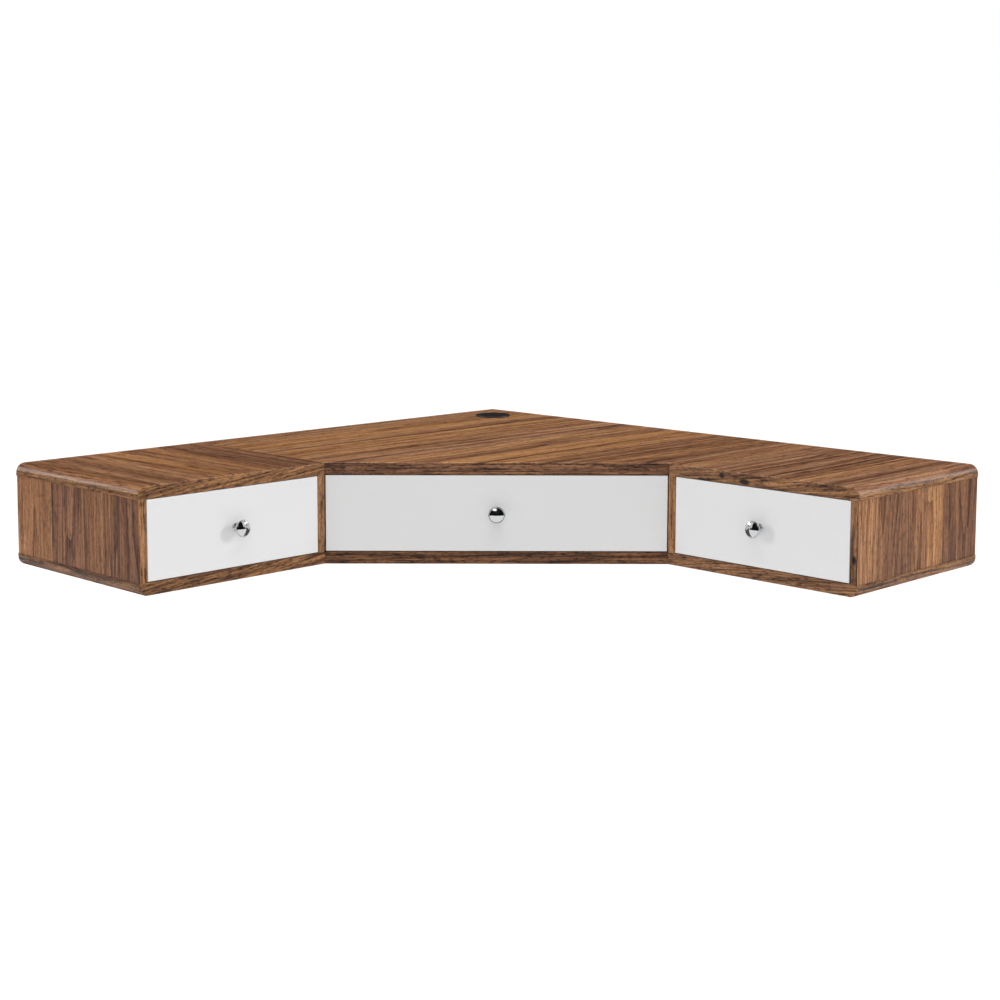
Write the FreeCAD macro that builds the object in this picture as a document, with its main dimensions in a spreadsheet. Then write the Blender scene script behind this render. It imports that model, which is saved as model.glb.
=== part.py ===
"""Corner desk that hangs on two walls: two wings, a five-sided corner module and three drawers on runners.

Millimetres, +Z up. The origin is the room corner at the height of the desk's underside: the left wall is
the plane X = 0 and the right wall is the plane Y = 0, so the desk lies in X > 0 and Y < 0. The right wing
is modelled, and the left wing is its mirror image in the desk's diagonal plane.
"""
import FreeCAD, Part

import math
import os
import re

import Sketcher

SIZES = {
    # Overall form
    "wall_run": 1000,
    "corner_run": 671,
    "wing_depth": 311,
    "desk_height": 152,
    # Carcass boards
    "board_thk": 18,
    "side_thk": 12,
    "back_thk": 12,
    "side_inset": 1,
    "end_radius": 14,
    "board_ease": 2,
    "seam_ease": 0.6,
    "centre_setback": 2,
    "module_side_recess": 16,
    "partition_gap": 1.5,
    "partition_tail": 12,
    # Wall screw holes in the back boards
    "wall_hole_radius": 3.25,
    "wall_hole_rise": 70,
    "wing_hole_margin": 52,
    "corner_hole_span": 320,
    "corner_hole_offset": 340,
    # Drawer fronts
    "front_thk": 15,
    "front_gap": 1.2,
    "front_ease": 1,
    # Drawer boxes
    "box_thk": 12,
    "box_lift": 10,
    "box_headroom": 22,
    "wing_box_rear_gap": 34,
    "centre_box_depth": 400,
    "centre_box_width": 254,
    "panel_thk": 4,
    "panel_lift": 8,
    "groove_depth": 5,
    "groove_slack": 0.2,
    # Roller runners
    "runner_space": 12.5,
    "runner_sheet": 1.2,
    "runner_setback": 2,
    "roller_radius": 9.5,
    "roller_width": 5.8,
    "roller_crown": 0.6,
    "roller_slack": 0.25,
    "axle_radius": 2.5,
    "axle_slack": 0.05,
    "axle_end": 14,
    "axle_drop": 14.8,
    "track_width": 9,
    "track_lip": 1.4,
    "guard_width": 6,
    "rider_width": 5.5,
    "front_roller_stand": 4,
    "rear_roller_stand": 1.6,
    # Knobs
    "knob_radius": 12.5,
    "knob_reach": 20,
    "knob_rim": 3,
    "knob_dome": 3.5,
    "knob_neck_radius": 4.2,
    "knob_base_radius": 7,
    "knob_base_thk": 2.2,
    "knob_cone": 3.6,
    "knob_stud_radius": 2,
    "knob_stud_slack": 0.2,
    # Cable grommet
    "grommet_offset": 78.5,
    "grommet_hole_radius": 25,
    "grommet_fit": 0.2,
    "grommet_wall": 2,
    "flange_radius": 30,
    "flange_thk": 3,
    "flange_round": 1.2,
    "seat_radius": 26.5,
    "seat_depth": 1.6,
    "sleeve_tail": 2,
    "cap_slack": 0.3,
    "cap_skirt": 6,
    "cap_wall": 1.6,
    "notch_width": 18,
    "notch_depth": 16,
    # Fasteners
    "cam_radius": 6,
    "cam_depth": 9,
    "cam_edge": 44,
    "cam_bolt_radius": 2.5,
    "cam_bolt_grip": 10,
    "screw_radius": 2.5,
    "screw_head_radius": 5,
    "screw_head_thk": 3,
    "screw_length": 48,
    "fastener_slack": 0.1,
    "bolt_radius": 3,
    "bolt_head_radius": 6.5,
    "bolt_head_thk": 1.8,
    "bolt_drop": 30,
    # Overrun of through cuts
    "overrun": 1,
}
# Places along a panel, as shares of its length
FASTENER_SHARES = (0.22, 0.78)
BOLT_SHARES = (0.3, 0.7)

doc = FreeCAD.newDocument("corner_desk")
sheet = doc.addObject("Spreadsheet::Sheet", "dims")
for row, (alias, number) in enumerate(SIZES.items(), 1):
    sheet.set(f"A{row}", alias)
    sheet.set(f"B{row}", str(number))
    sheet.setAlias(f"B{row}", alias)
doc.recompute()

# Derived sizes, as formulas of the sheet's values
ROOM_TOP = "(desk_height - board_thk)"
ROOM_HEIGHT = "(desk_height - 2 * board_thk)"
WING_ROOM = "(wall_run - corner_run - side_inset - 2 * side_thk)"
WING_ROOM_MIDDLE = f"(corner_run + side_thk + {WING_ROOM} / 2)"
WING_HOLE_SPAN = f"({WING_ROOM} - 2 * wing_hole_margin)"
FRONT_SPAN = "(sqrt(2) * (corner_run - wing_depth))"
FRONT_MIDDLE = "((corner_run + wing_depth) / 2)"
BOX_FLOOR = "(board_thk + box_lift)"
BOX_HEIGHT = f"({ROOM_HEIGHT} - box_lift - box_headroom)"
WING_BOX_DEPTH = "(wing_depth - back_thk - front_thk - wing_box_rear_gap)"
AXLE_HEIGHT = f"({BOX_FLOOR} + axle_drop)"
BOLT_HEIGHT = f"({ROOM_TOP} - bolt_drop)"
FRONT_BOTTOM = "(board_thk + front_gap)"
FRONT_HEIGHT = f"({ROOM_HEIGHT} - 2 * front_gap)"
PARTITION_FACE = "(centre_box_width / 2 + runner_space)"
PARTITION_FRONT = "(centre_setback + front_thk + partition_gap)"
PARTITION_LENGTH = "(centre_box_depth + partition_tail)"
DIAGONAL = FreeCAD.Vector(1, 1, 0)
CORNER_ANGLE = 45
ORIGIN = FreeCAD.Vector(0, 0, 0)


def bound(formula):
    """The formula with each sheet value written as a reference to its cell."""
    return re.sub(r"[a-z_]+[a-z]\b", lambda m: f"dims.{m[0]}" if m[0] in SIZES else m[0], str(formula))


def value(formula):
    """The number that a formula gives now."""
    return float(sheet.evalExpression(bound(formula)))


class Frame:
    """A local frame: its origin in the desk's frame, as formulas, and its turn about Z in degrees."""

    def __init__(self, x="0", y="0", z="0", turn=0):
        self.base = (x, y, z)
        self.turn = turn

    def place(self, piece):
        """Put a piece in this frame, with its base bound to the sheet."""
        piece.Placement = FreeCAD.Placement(ORIGIN, FreeCAD.Rotation(FreeCAD.Vector(0, 0, 1), self.turn))
        for axis, formula in zip("xyz", self.base):
            piece.setExpression(f"Placement.Base.{axis}", bound(formula))

    def outside(self, x, y):
        """A local point's X and Y in the desk's frame, as formulas."""
        cosine, sine = f"cos({self.turn})", f"sin({self.turn})"
        outside_x = f"({self.base[0]} + ({x}) * {cosine} - ({y}) * {sine})"
        outside_y = f"({self.base[1]} + ({x}) * {sine} + ({y}) * {cosine})"
        return outside_x, outside_y


DESK = Frame()
WING_DRAWER = Frame(WING_ROOM_MIDDLE, "-wing_depth")
CENTRE_DRAWER = Frame(
    f"{FRONT_MIDDLE} - centre_setback / sqrt(2)",
    f"-{FRONT_MIDDLE} + centre_setback / sqrt(2)",
    turn=CORNER_ANGLE,
)


def new_body(label, frame=DESK):
    """An empty body with its own label, placed in a frame."""
    body = doc.addObject("PartDesign::Body", label)
    body.Label = label
    frame.place(body)
    return body


def new_sketch(body, plane, lift):
    """A sketch on one of the body's own origin planes, raised along the plane's normal."""
    sketch = body.newObject("Sketcher::SketchObject", f"{body.Name}_sketch")
    support = next(f for f in body.Origin.OriginFeatures if f.Role == plane)
    sketch.AttachmentSupport = [(support, "")]
    sketch.MapMode = "FlatFace"
    sketch.setExpression("AttachmentOffset.Base.z", bound(lift))
    return sketch


def pin_point(sketch, edge, end, x, y):
    """Fix a sketch point at two formulas, measured from the sketch's origin."""
    for kind, formula in (("DistanceX", x), ("DistanceY", y)):
        index = sketch.addConstraint(Sketcher.Constraint(kind, -1, 1, edge, end, value(formula)))
        sketch.setExpression(f"Constraints[{index}]", bound(formula))


def arc_centre(start, end, radius):
    """Centre of the arc of a radius that turns left from start to end."""
    chord = end - start
    side = FreeCAD.Vector(-chord.y, chord.x, 0).normalize()
    return (start + end) * 0.5 + side * math.sqrt(radius * radius - (chord.Length / 2) ** 2)


def draw_outline(sketch, points):
    """A closed outline. Each point is (x, y), or (x, y, radius) where an arc turns left to the next point."""
    spots = [FreeCAD.Vector(value(p[0]), value(p[1]), 0) for p in points]
    first = sketch.GeometryCount
    for i, point in enumerate(points):
        start, end = spots[i], spots[(i + 1) % len(points)]
        if len(point) == 2:
            sketch.addGeometry(Part.LineSegment(start, end), False)
            continue
        radius = value(point[2])
        centre = arc_centre(start, end, radius)
        begin, finish = (math.atan2(v.y - centre.y, v.x - centre.x) for v in (start, end))
        circle = Part.Circle(centre, FreeCAD.Vector(0, 0, 1), radius)
        sketch.addGeometry(Part.ArcOfCircle(circle, begin, finish), False)
        index = sketch.addConstraint(Sketcher.Constraint("Radius", first + i, radius))
        sketch.setExpression(f"Constraints[{index}]", bound(point[2]))
    for i, point in enumerate(points):
        after = (i + 1) % len(points)
        sketch.addConstraint(Sketcher.Constraint("Coincident", first + i, 2, first + after, 1))
    for i, point in enumerate(points):
        pin_point(sketch, first + i, 1, point[0], point[1])


def draw_circles(sketch, circles):
    """Circles, each (x, y, radius)."""
    for x, y, radius in circles:
        centre = FreeCAD.Vector(value(x), value(y), 0)
        edge = sketch.addGeometry(Part.Circle(centre, FreeCAD.Vector(0, 0, 1), value(radius)), False)
        pin_point(sketch, edge, 3, x, y)
        index = sketch.addConstraint(Sketcher.Constraint("Radius", edge, value(radius)))
        sketch.setExpression(f"Constraints[{index}]", bound(radius))


def box_outline(x0, x1, y0, y1):
    """The corners of a rectangle."""
    return [(x0, y0), (x1, y0), (x1, y1), (x0, y1)]


def pad(body, plane, lift, length, outline=(), circles=(), back=False):
    """Add an extruded outline, or circles, to a body."""
    sketch = new_sketch(body, plane, lift)
    if outline:
        draw_outline(sketch, outline)
    draw_circles(sketch, circles)
    feature = body.newObject("PartDesign::Pad", f"{body.Name}_pad")
    feature.Profile = sketch
    feature.Reversed = back
    feature.setExpression("Length", bound(length))
    doc.recompute()
    return body


def pocket(body, plane, lift, depth, outline=(), circles=()):
    """Cut an extruded outline, or circles, out of a body, on the side of the sketch where the solid is."""
    before = body.Shape.Volume
    sketch = new_sketch(body, plane, lift)
    if outline:
        draw_outline(sketch, outline)
    draw_circles(sketch, circles)
    feature = body.newObject("PartDesign::Pocket", f"{body.Name}_pocket")
    feature.Profile = sketch
    feature.setExpression("Length", bound(depth))
    doc.recompute()
    if body.Shape.isNull() or body.Shape.Volume > before * (1 - 1e-9):
        feature.Reversed = True
        doc.recompute()
    if body.Shape.Volume > before * (1 - 1e-9):
        raise RuntimeError(f"{body.Label}: a pocket cuts nothing")
    return body


def revolve(body, outline):
    """Turn an outline in the body's XZ plane about its Z axis."""
    sketch = new_sketch(body, "XZ_Plane", "0")
    draw_outline(sketch, outline)
    feature = body.newObject("PartDesign::Revolution", f"{body.Name}_turned")
    feature.Profile = sketch
    feature.ReferenceAxis = (sketch, ["V_Axis"])
    feature.Angle = 360
    doc.recompute()
    return body


def edges_at(body, **where):
    """Names of the body's edges whose ends all lie at the given local coordinates."""
    wanted = {axis: value(formula) for axis, formula in where.items()}

    def lies_there(edge):
        offsets = [getattr(v.Point, axis) - at for v in edge.Vertexes for axis, at in wanted.items()]
        return all(abs(offset) < 1e-4 for offset in offsets)

    return [f"Edge{i}" for i, edge in enumerate(body.Tip.Shape.Edges, 1) if lies_there(edge)]


def round_edges(body, edges, radius):
    """Round the named edges of a body's last feature."""
    feature = body.newObject("PartDesign::Fillet", f"{body.Name}_round")
    feature.Base = (body.Tip if body.Tip != feature else feature.BaseFeature, edges)
    feature.setExpression("Radius", bound(radius))
    doc.recompute()
    return body


def mirrored(label, source, base=("0", "0"), normal=DIAGONAL):
    """The mirror image of a piece: in the desk's diagonal plane unless another plane is given."""
    image = doc.addObject("Part::Mirroring", label)
    image.Label = label
    image.Source = source
    image.Normal = normal
    for axis, formula in zip("xy", base):
        image.setExpression(f"Base.{axis}", bound(formula))
    return image


def grouped(label, pieces):
    """Separate solids that share one node."""
    group = doc.addObject("Part::Compound", label)
    group.Label = label
    group.Links = pieces
    return group


pieces = {}


def keep(piece):
    """List a piece among those that are written."""
    pieces[piece.Label] = piece
    return piece


def keep_both(right, left_label):
    """List a piece of the right wing and its mirror image on the left."""
    keep(right)
    return keep(mirrored(left_label, right))


def panel_spots(x, y_near, y_far):
    """Fastener places along a straight panel of the right half: X and the Y of each place."""
    return [(x, f"({y_near}) + ({share}) * (({y_far}) - ({y_near}))") for share in FASTENER_SHARES]


# Fastener places, in the desk's frame: outer side, inner side, module side, partition
OUTER_X = "(wall_run - side_inset - side_thk / 2)"
INNER_X = "(corner_run + side_thk / 2)"
MODULE_X = "(corner_run - side_thk / 2)"
MODULE_FRONT = "(-wing_depth + module_side_recess)"
outer_spots = panel_spots(OUTER_X, "0", "-wing_depth")
inner_spots = panel_spots(INNER_X, "0", "-wing_depth")
module_spots = panel_spots(MODULE_X, "-back_thk", MODULE_FRONT)
partition_depths = [
    f"({PARTITION_FRONT} - centre_setback + {share} * {PARTITION_LENGTH})" for share in FASTENER_SHARES
]
partition_spots = [
    CENTRE_DRAWER.outside(f"{side} * ({PARTITION_FACE} + side_thk / 2)", depth)
    for side in (1, -1)
    for depth in partition_depths
]
module_left_spots = [(f"-({y})", f"-({x})") for x, y in module_spots]


def bore_board_blind(board, face, spots):
    """Blind holes for the cam bolts in the inner face of a top or bottom board."""
    holes = [(x, y, "cam_bolt_radius + fastener_slack") for x, y in spots]
    pocket(board, "XY_Plane", face, "cam_bolt_grip + fastener_slack", circles=holes)


def bore_board_through(board, spots):
    """Through holes, counterbored below, for the screws in a bottom board."""
    shanks = [(x, y, "screw_radius + fastener_slack") for x, y in spots]
    heads = [(x, y, "screw_head_radius + fastener_slack") for x, y in spots]
    pocket(board, "XY_Plane", "0", "board_thk + overrun", circles=shanks)
    pocket(board, "XY_Plane", "0", "screw_head_thk + fastener_slack", circles=heads)


def bore_panel_ends(panel, spots, screwed=True):
    """Holes for the cam bolts in a panel's top edge, and for screws or more cam bolts in its bottom edge."""
    bolts = [(x, y, "cam_bolt_radius + fastener_slack") for x, y in spots]
    pocket(panel, "XY_Plane", ROOM_TOP, "cam_edge", circles=bolts)
    if screwed:
        feet = [(x, y, "screw_radius + fastener_slack") for x, y in spots]
        pocket(panel, "XY_Plane", "board_thk", "screw_length - board_thk + fastener_slack", circles=feet)
    else:
        pocket(panel, "XY_Plane", "board_thk", "cam_edge", circles=bolts)


CAM_HEIGHT = f"({ROOM_TOP} - cam_edge)"
LOW_CAM_HEIGHT = "(board_thk + cam_edge)"
CAM_BORE = "cam_radius + fastener_slack"


def wing_boards():
    """Top and bottom board of a wing, with the end edge rounded over and the front and seam edges eased."""
    boards = {}
    for label, floor, outer, inner in (
        ("right_top_board", ROOM_TOP, "desk_height", ROOM_TOP),
        ("right_bottom_board", "0", "0", "board_thk"),
    ):
        board = new_body(label)
        plan = box_outline("corner_run", "wall_run", "-wing_depth", "0")
        pad(board, "XY_Plane", floor, "board_thk", plan)
        round_edges(board, edges_at(board, x="wall_run", z=outer), "end_radius")
        round_edges(board, edges_at(board, y="-wing_depth", z=outer), "board_ease")
        boards[label] = board
    top = boards["right_top_board"]
    round_edges(top, edges_at(top, x="corner_run", z="desk_height"), "seam_ease")
    bore_board_blind(top, ROOM_TOP, outer_spots + inner_spots)
    bore_board_blind(boards["right_bottom_board"], "board_thk", outer_spots)
    bore_board_through(boards["right_bottom_board"], inner_spots)
    keep_both(top, "left_top_board")
    keep_both(boards["right_bottom_board"], "left_bottom_board")


def upright(label, x0, x1, y0, y1):
    """A panel between the top and bottom boards."""
    return pad(new_body(label), "XY_Plane", "board_thk", ROOM_HEIGHT, box_outline(x0, x1, y0, y1))


def cam_bores(panel, spots, face, height=CAM_HEIGHT):
    """Blind bores for the cams in a panel's face."""
    bores = [(y, height, CAM_BORE) for _, y in spots]
    pocket(panel, "YZ_Plane", face, "cam_depth + fastener_slack", circles=bores)


def connector_holes(panel, face):
    """Holes for the connector bolts, right through a panel."""
    holes = [(y, BOLT_HEIGHT, "bolt_radius + fastener_slack") for y in bolt_depths]
    pocket(panel, "YZ_Plane", face, "side_thk + overrun", circles=holes)


bolt_depths = [f"(-back_thk + {share} * ({MODULE_FRONT} + back_thk))" for share in BOLT_SHARES]


def wall_holes(board, middle, span):
    """Four holes for the wall screws, right through a back board."""
    height = f"({ROOM_TOP} + board_thk) / 2"
    holes = [
        (f"{middle} + {side} * {span} / 2", f"{height} + {rise} * wall_hole_rise / 2", "wall_hole_radius")
        for side in (-1, 1)
        for rise in (-1, 1)
    ]
    pocket(board, "XZ_Plane", "0", "back_thk + overrun", circles=holes)


def wing_panels():
    """Side panels and back board of a wing."""
    outer_face = "wall_run - side_inset - side_thk"
    outer = upright("right_outer_side", outer_face, "wall_run - side_inset", "-wing_depth", "0")
    bore_panel_ends(outer, outer_spots, screwed=False)
    cam_bores(outer, outer_spots, outer_face)
    cam_bores(outer, outer_spots, outer_face, LOW_CAM_HEIGHT)
    inner_face = "corner_run + side_thk"
    inner = upright("right_inner_side", "corner_run", inner_face, "-wing_depth", "0")
    bore_panel_ends(inner, inner_spots)
    cam_bores(inner, inner_spots, inner_face)
    connector_holes(inner, "corner_run")
    back = upright("right_back_board", inner_face, outer_face, "-back_thk", "0")
    wall_holes(back, WING_ROOM_MIDDLE, WING_HOLE_SPAN)
    for panel in (outer, inner, back):
        keep_both(panel, panel.Label.replace("right", "left"))


def centre_boards():
    """Five-sided top and bottom board of the corner module, set back a little from the wings at the front."""
    cut = "sqrt(2) * centre_setback"
    plan = [
        ("0", "0"),
        ("corner_run", "0"),
        ("corner_run", f"-wing_depth + {cut}"),
        (f"wing_depth - {cut}", "-corner_run"),
        ("0", "-corner_run"),
    ]
    spots = module_spots + module_left_spots + partition_spots
    top = pad(new_body("centre_top_board"), "XY_Plane", ROOM_TOP, "board_thk", plan)
    middles = {name: top.Tip.Shape.getElement(name).CenterOfMass for name in edges_at(top, z="desk_height")}
    front = [name for name, middle in middles.items() if abs(middle.x + middle.y) < 1e-3]
    round_edges(top, front, "board_ease")
    for seam in ({"x": "corner_run"}, {"y": "-corner_run"}):
        round_edges(top, edges_at(top, z="desk_height", **seam), "seam_ease")
    hole = [("grommet_offset", "-grommet_offset", "grommet_hole_radius")]
    pocket(top, "XY_Plane", "desk_height", "board_thk + overrun", circles=hole)
    bore_board_blind(top, ROOM_TOP, spots)
    keep(top)
    bottom = pad(new_body("centre_bottom_board"), "XY_Plane", "0", "board_thk", plan)
    bore_board_through(bottom, spots)
    keep(bottom)


def centre_panels():
    """Module sides, mitred back boards and drawer partitions of the corner module."""
    face = "corner_run - side_thk"
    side = upright("centre_right_side", face, "corner_run", MODULE_FRONT, "-back_thk")
    bore_panel_ends(side, module_spots)
    cam_bores(side, module_spots, face)
    connector_holes(side, face)
    keep_both(side, "centre_left_side")

    back = new_body("centre_right_back_board")
    mitre = [("0", "0"), ("back_thk", "-back_thk"), ("corner_run", "-back_thk"), ("corner_run", "0")]
    pad(back, "XY_Plane", "board_thk", ROOM_HEIGHT, mitre)
    wall_holes(back, "corner_hole_offset", "corner_hole_span")
    keep_both(back, "centre_left_back_board")

    partition = new_body("centre_right_partition", CENTRE_DRAWER)
    front = f"({PARTITION_FRONT} - centre_setback)"
    middle = f"({PARTITION_FACE} + side_thk / 2)"
    outer_face = f"({PARTITION_FACE} + side_thk)"
    plan = box_outline(PARTITION_FACE, outer_face, front, f"{front} + {PARTITION_LENGTH}")
    pad(partition, "XY_Plane", "board_thk", ROOM_HEIGHT, plan)
    spots = [(middle, depth) for depth in partition_depths]
    bore_panel_ends(partition, spots)
    cam_bores(partition, spots, outer_face)
    keep_both(partition, "centre_left_partition")


def knob_body(label, frame):
    """Mushroom knob with a small base flange, and the stud that holds it to the front."""
    base, neck, head = "knob_base_radius", "knob_neck_radius", "knob_radius"
    rim_back = "(knob_reach - knob_dome - knob_rim)"
    rim_front = "(knob_reach - knob_dome)"
    dome = "((knob_radius * knob_radius + knob_dome * knob_dome) / (2 * knob_dome))"
    outline = [
        ("0", "-front_thk"),
        ("knob_stud_radius", "-front_thk"),
        ("knob_stud_radius", "0"),
        (base, "0"),
        (base, "knob_base_thk / 2", "knob_base_thk"),
        (f"{base} - knob_base_thk", "knob_base_thk"),
        (neck, "knob_base_thk + (knob_base_radius - knob_neck_radius) / 2"),
        (neck, f"{rim_back} - knob_cone"),
        (f"{head} - knob_rim / 2", rim_back),
        (head, f"{rim_back} + knob_rim / 2"),
        (head, rim_front, dome),
        ("0", "knob_reach"),
    ]
    knob = new_body(label, frame)
    revolve(knob, outline)
    turn = FreeCAD.Rotation(FreeCAD.Vector(0, 0, 1), frame.turn)
    knob.Placement.Rotation = turn * FreeCAD.Rotation(FreeCAD.Vector(1, 0, 0), 90)
    return knob


def drawer_front(name, frame, width):
    """White front, flush with the carcass, with its outer edges eased."""
    front = new_body(f"{name}_drawer_front", frame)
    top = f"({FRONT_BOTTOM} + {FRONT_HEIGHT})"
    face = box_outline(f"-{width} / 2", f"{width} / 2", FRONT_BOTTOM, top)
    pad(front, "XZ_Plane", "0", "front_thk", face, back=True)
    round_edges(front, edges_at(front, y="0"), "front_ease")
    return front


def build_drawer(name, frame, front_width, box_width, depth):
    """All pieces of one drawer and its runners, in the drawer's frame: X to the right, Y into the desk."""
    middle = f"({FRONT_BOTTOM} + {FRONT_HEIGHT} / 2)"
    half = f"({box_width} / 2)"
    rear = f"(front_thk + {depth})"
    groove_floor = f"({BOX_FLOOR} + panel_lift)"
    groove = (groove_floor, f"{groove_floor} + panel_thk + groove_slack")
    reach = "(groove_depth - groove_slack)"

    front = drawer_front(name, frame, front_width)
    slot_end = f"({half} - box_thk + groove_depth)"
    pocket(front, "XZ_Plane", "-front_thk", "groove_depth", box_outline(f"-{slot_end}", slot_end, *groove))
    hole = [("0", middle, "knob_stud_radius + knob_stud_slack")]
    pocket(front, "XZ_Plane", "0", "front_thk + overrun", circles=hole)

    side = new_body(f"{name}_drawer_right_side", frame)
    inner_face = f"({half} - box_thk)"
    pad(side, "XY_Plane", BOX_FLOOR, BOX_HEIGHT, box_outline(inner_face, half, "front_thk", rear))
    pocket(side, "YZ_Plane", inner_face, "groove_depth", box_outline("front_thk", rear, *groove))

    back = new_body(f"{name}_drawer_back", frame)
    plan = box_outline(f"-{inner_face}", inner_face, f"{rear} - box_thk", rear)
    pad(back, "XY_Plane", BOX_FLOOR, BOX_HEIGHT, plan)
    slot = box_outline(f"-{inner_face}", inner_face, *groove)
    pocket(back, "XZ_Plane", f"-({rear} - box_thk)", "groove_depth", slot)

    panel = new_body(f"{name}_drawer_bottom", frame)
    panel_edge = f"({inner_face} + {reach})"
    plan = box_outline(f"-{panel_edge}", panel_edge, f"front_thk - {reach}", f"{rear} - box_thk + {reach}")
    pad(panel, "XY_Plane", groove_floor, "panel_thk", plan)

    knob_frame = Frame(*frame.outside("0", "0"), middle, frame.turn)
    knob = knob_body(f"{name}_drawer_knob", knob_frame)

    rails = runner(name, frame, half, depth)
    middle_plane = frame.outside("0", "0")
    across = FreeCAD.Rotation(FreeCAD.Vector(0, 0, 1), frame.turn).multVec(FreeCAD.Vector(1, 0, 0))

    def opposite(label, source):
        return mirrored(label, source, middle_plane, across)

    out = [front, side, opposite(f"{name}_drawer_left_side", side), back, panel, knob]
    for key in ("cabinet_rail", "drawer_rail"):
        out.append(rails[key])
        out.append(opposite(rails[key].Label.replace("_right_", "_left_"), rails[key]))
    for key in ("front_rollers", "rear_rollers"):
        roller = rails[key]
        out.append(grouped(f"{name}_drawer_{key}", [roller, opposite(f"{roller.Label}_other", roller)]))
    return out


def runner(name, frame, half, depth):
    """The right-hand runner of a drawer: cabinet rail, drawer rail and their two rollers."""
    wall = f"({half} + runner_space)"
    start, end = "(front_thk + runner_setback)", f"(front_thk + {depth})"
    length = f"({end} - {start})"
    half_height = "(roller_radius + roller_slack + runner_sheet)"
    floor, roof = f"({AXLE_HEIGHT} - {half_height})", f"({AXLE_HEIGHT} + {half_height})"
    axle_front, axle_rear = f"({start} + axle_end)", f"({end} - axle_end)"

    cabinet = new_body(f"{name}_drawer_right_cabinet_rail", frame)
    profile = [
        (wall, floor),
        (wall, roof),
        (f"{wall} - guard_width", roof),
        (f"{wall} - guard_width", f"{roof} - runner_sheet"),
        (f"{wall} - runner_sheet", f"{roof} - runner_sheet"),
        (f"{wall} - runner_sheet", f"{floor} + runner_sheet"),
        (f"{wall} - track_width + runner_sheet", f"{floor} + runner_sheet"),
        (f"{wall} - track_width + runner_sheet", f"{floor} + runner_sheet + track_lip"),
        (f"{wall} - track_width", f"{floor} + runner_sheet + track_lip"),
        (f"{wall} - track_width", floor),
    ]
    pad(cabinet, "XZ_Plane", f"-{start}", length, profile, back=True)
    lip_top = f"({floor} + runner_sheet + track_lip)"
    lip_edge = f"({wall} - track_width)"
    gap = box_outline(
        f"{lip_edge} - overrun", f"{lip_edge} + runner_sheet", f"{start} - overrun", f"{start} + 2 * axle_end"
    )
    pocket(cabinet, "XY_Plane", lip_top, "track_lip", gap)
    axle = [(axle_front, AXLE_HEIGHT, "axle_radius")]
    reach = "(front_roller_stand + roller_width - runner_sheet)"
    pad(cabinet, "YZ_Plane", f"{wall} - runner_sheet", reach, circles=axle, back=True)

    drawer = new_body(f"{name}_drawer_right_drawer_rail", frame)
    rider = f"({AXLE_HEIGHT} + roller_radius + roller_slack)"
    profile = [
        (f"{half} - box_thk", f"{BOX_FLOOR} - runner_sheet"),
        (f"{half} + runner_sheet", f"{BOX_FLOOR} - runner_sheet"),
        (f"{half} + runner_sheet", rider),
        (f"{half} + rider_width", rider),
        (f"{half} + rider_width", f"{rider} + runner_sheet"),
        (half, f"{rider} + runner_sheet"),
        (half, BOX_FLOOR),
        (f"{half} - box_thk", BOX_FLOOR),
    ]
    pad(drawer, "XZ_Plane", f"-{start}", length, profile, back=True)
    axle = [(axle_rear, AXLE_HEIGHT, "axle_radius")]
    reach = "(runner_space - runner_sheet - rear_roller_stand)"
    pad(drawer, "YZ_Plane", f"{half} + runner_sheet", reach, circles=axle)

    front_face, rear_face = f"{wall} - front_roller_stand", f"{wall} - rear_roller_stand"
    return {
        "cabinet_rail": cabinet,
        "drawer_rail": drawer,
        "front_rollers": roller_body(f"{name}_front_roller", frame, front_face, axle_front),
        "rear_rollers": roller_body(f"{name}_rear_roller", frame, rear_face, axle_rear),
    }


def roller_body(label, frame, outer_face, along):
    """A crowned plastic roller with a bored hub, its axis across the drawer."""
    spot = Frame(*frame.outside(outer_face, along), AXLE_HEIGHT, frame.turn)
    roller = new_body(label, spot)
    bore = "(axle_radius + axle_slack)"
    outline = [
        (bore, "0"),
        ("roller_radius - roller_crown", "0"),
        ("roller_radius", "roller_crown"),
        ("roller_radius", "roller_width - roller_crown"),
        ("roller_radius - roller_crown", "roller_width"),
        (bore, "roller_width"),
    ]
    revolve(roller, outline)
    turn = FreeCAD.Rotation(FreeCAD.Vector(0, 0, 1), frame.turn)
    roller.Placement.Rotation = turn * FreeCAD.Rotation(FreeCAD.Vector(0, 1, 0), -90)
    return roller


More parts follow.
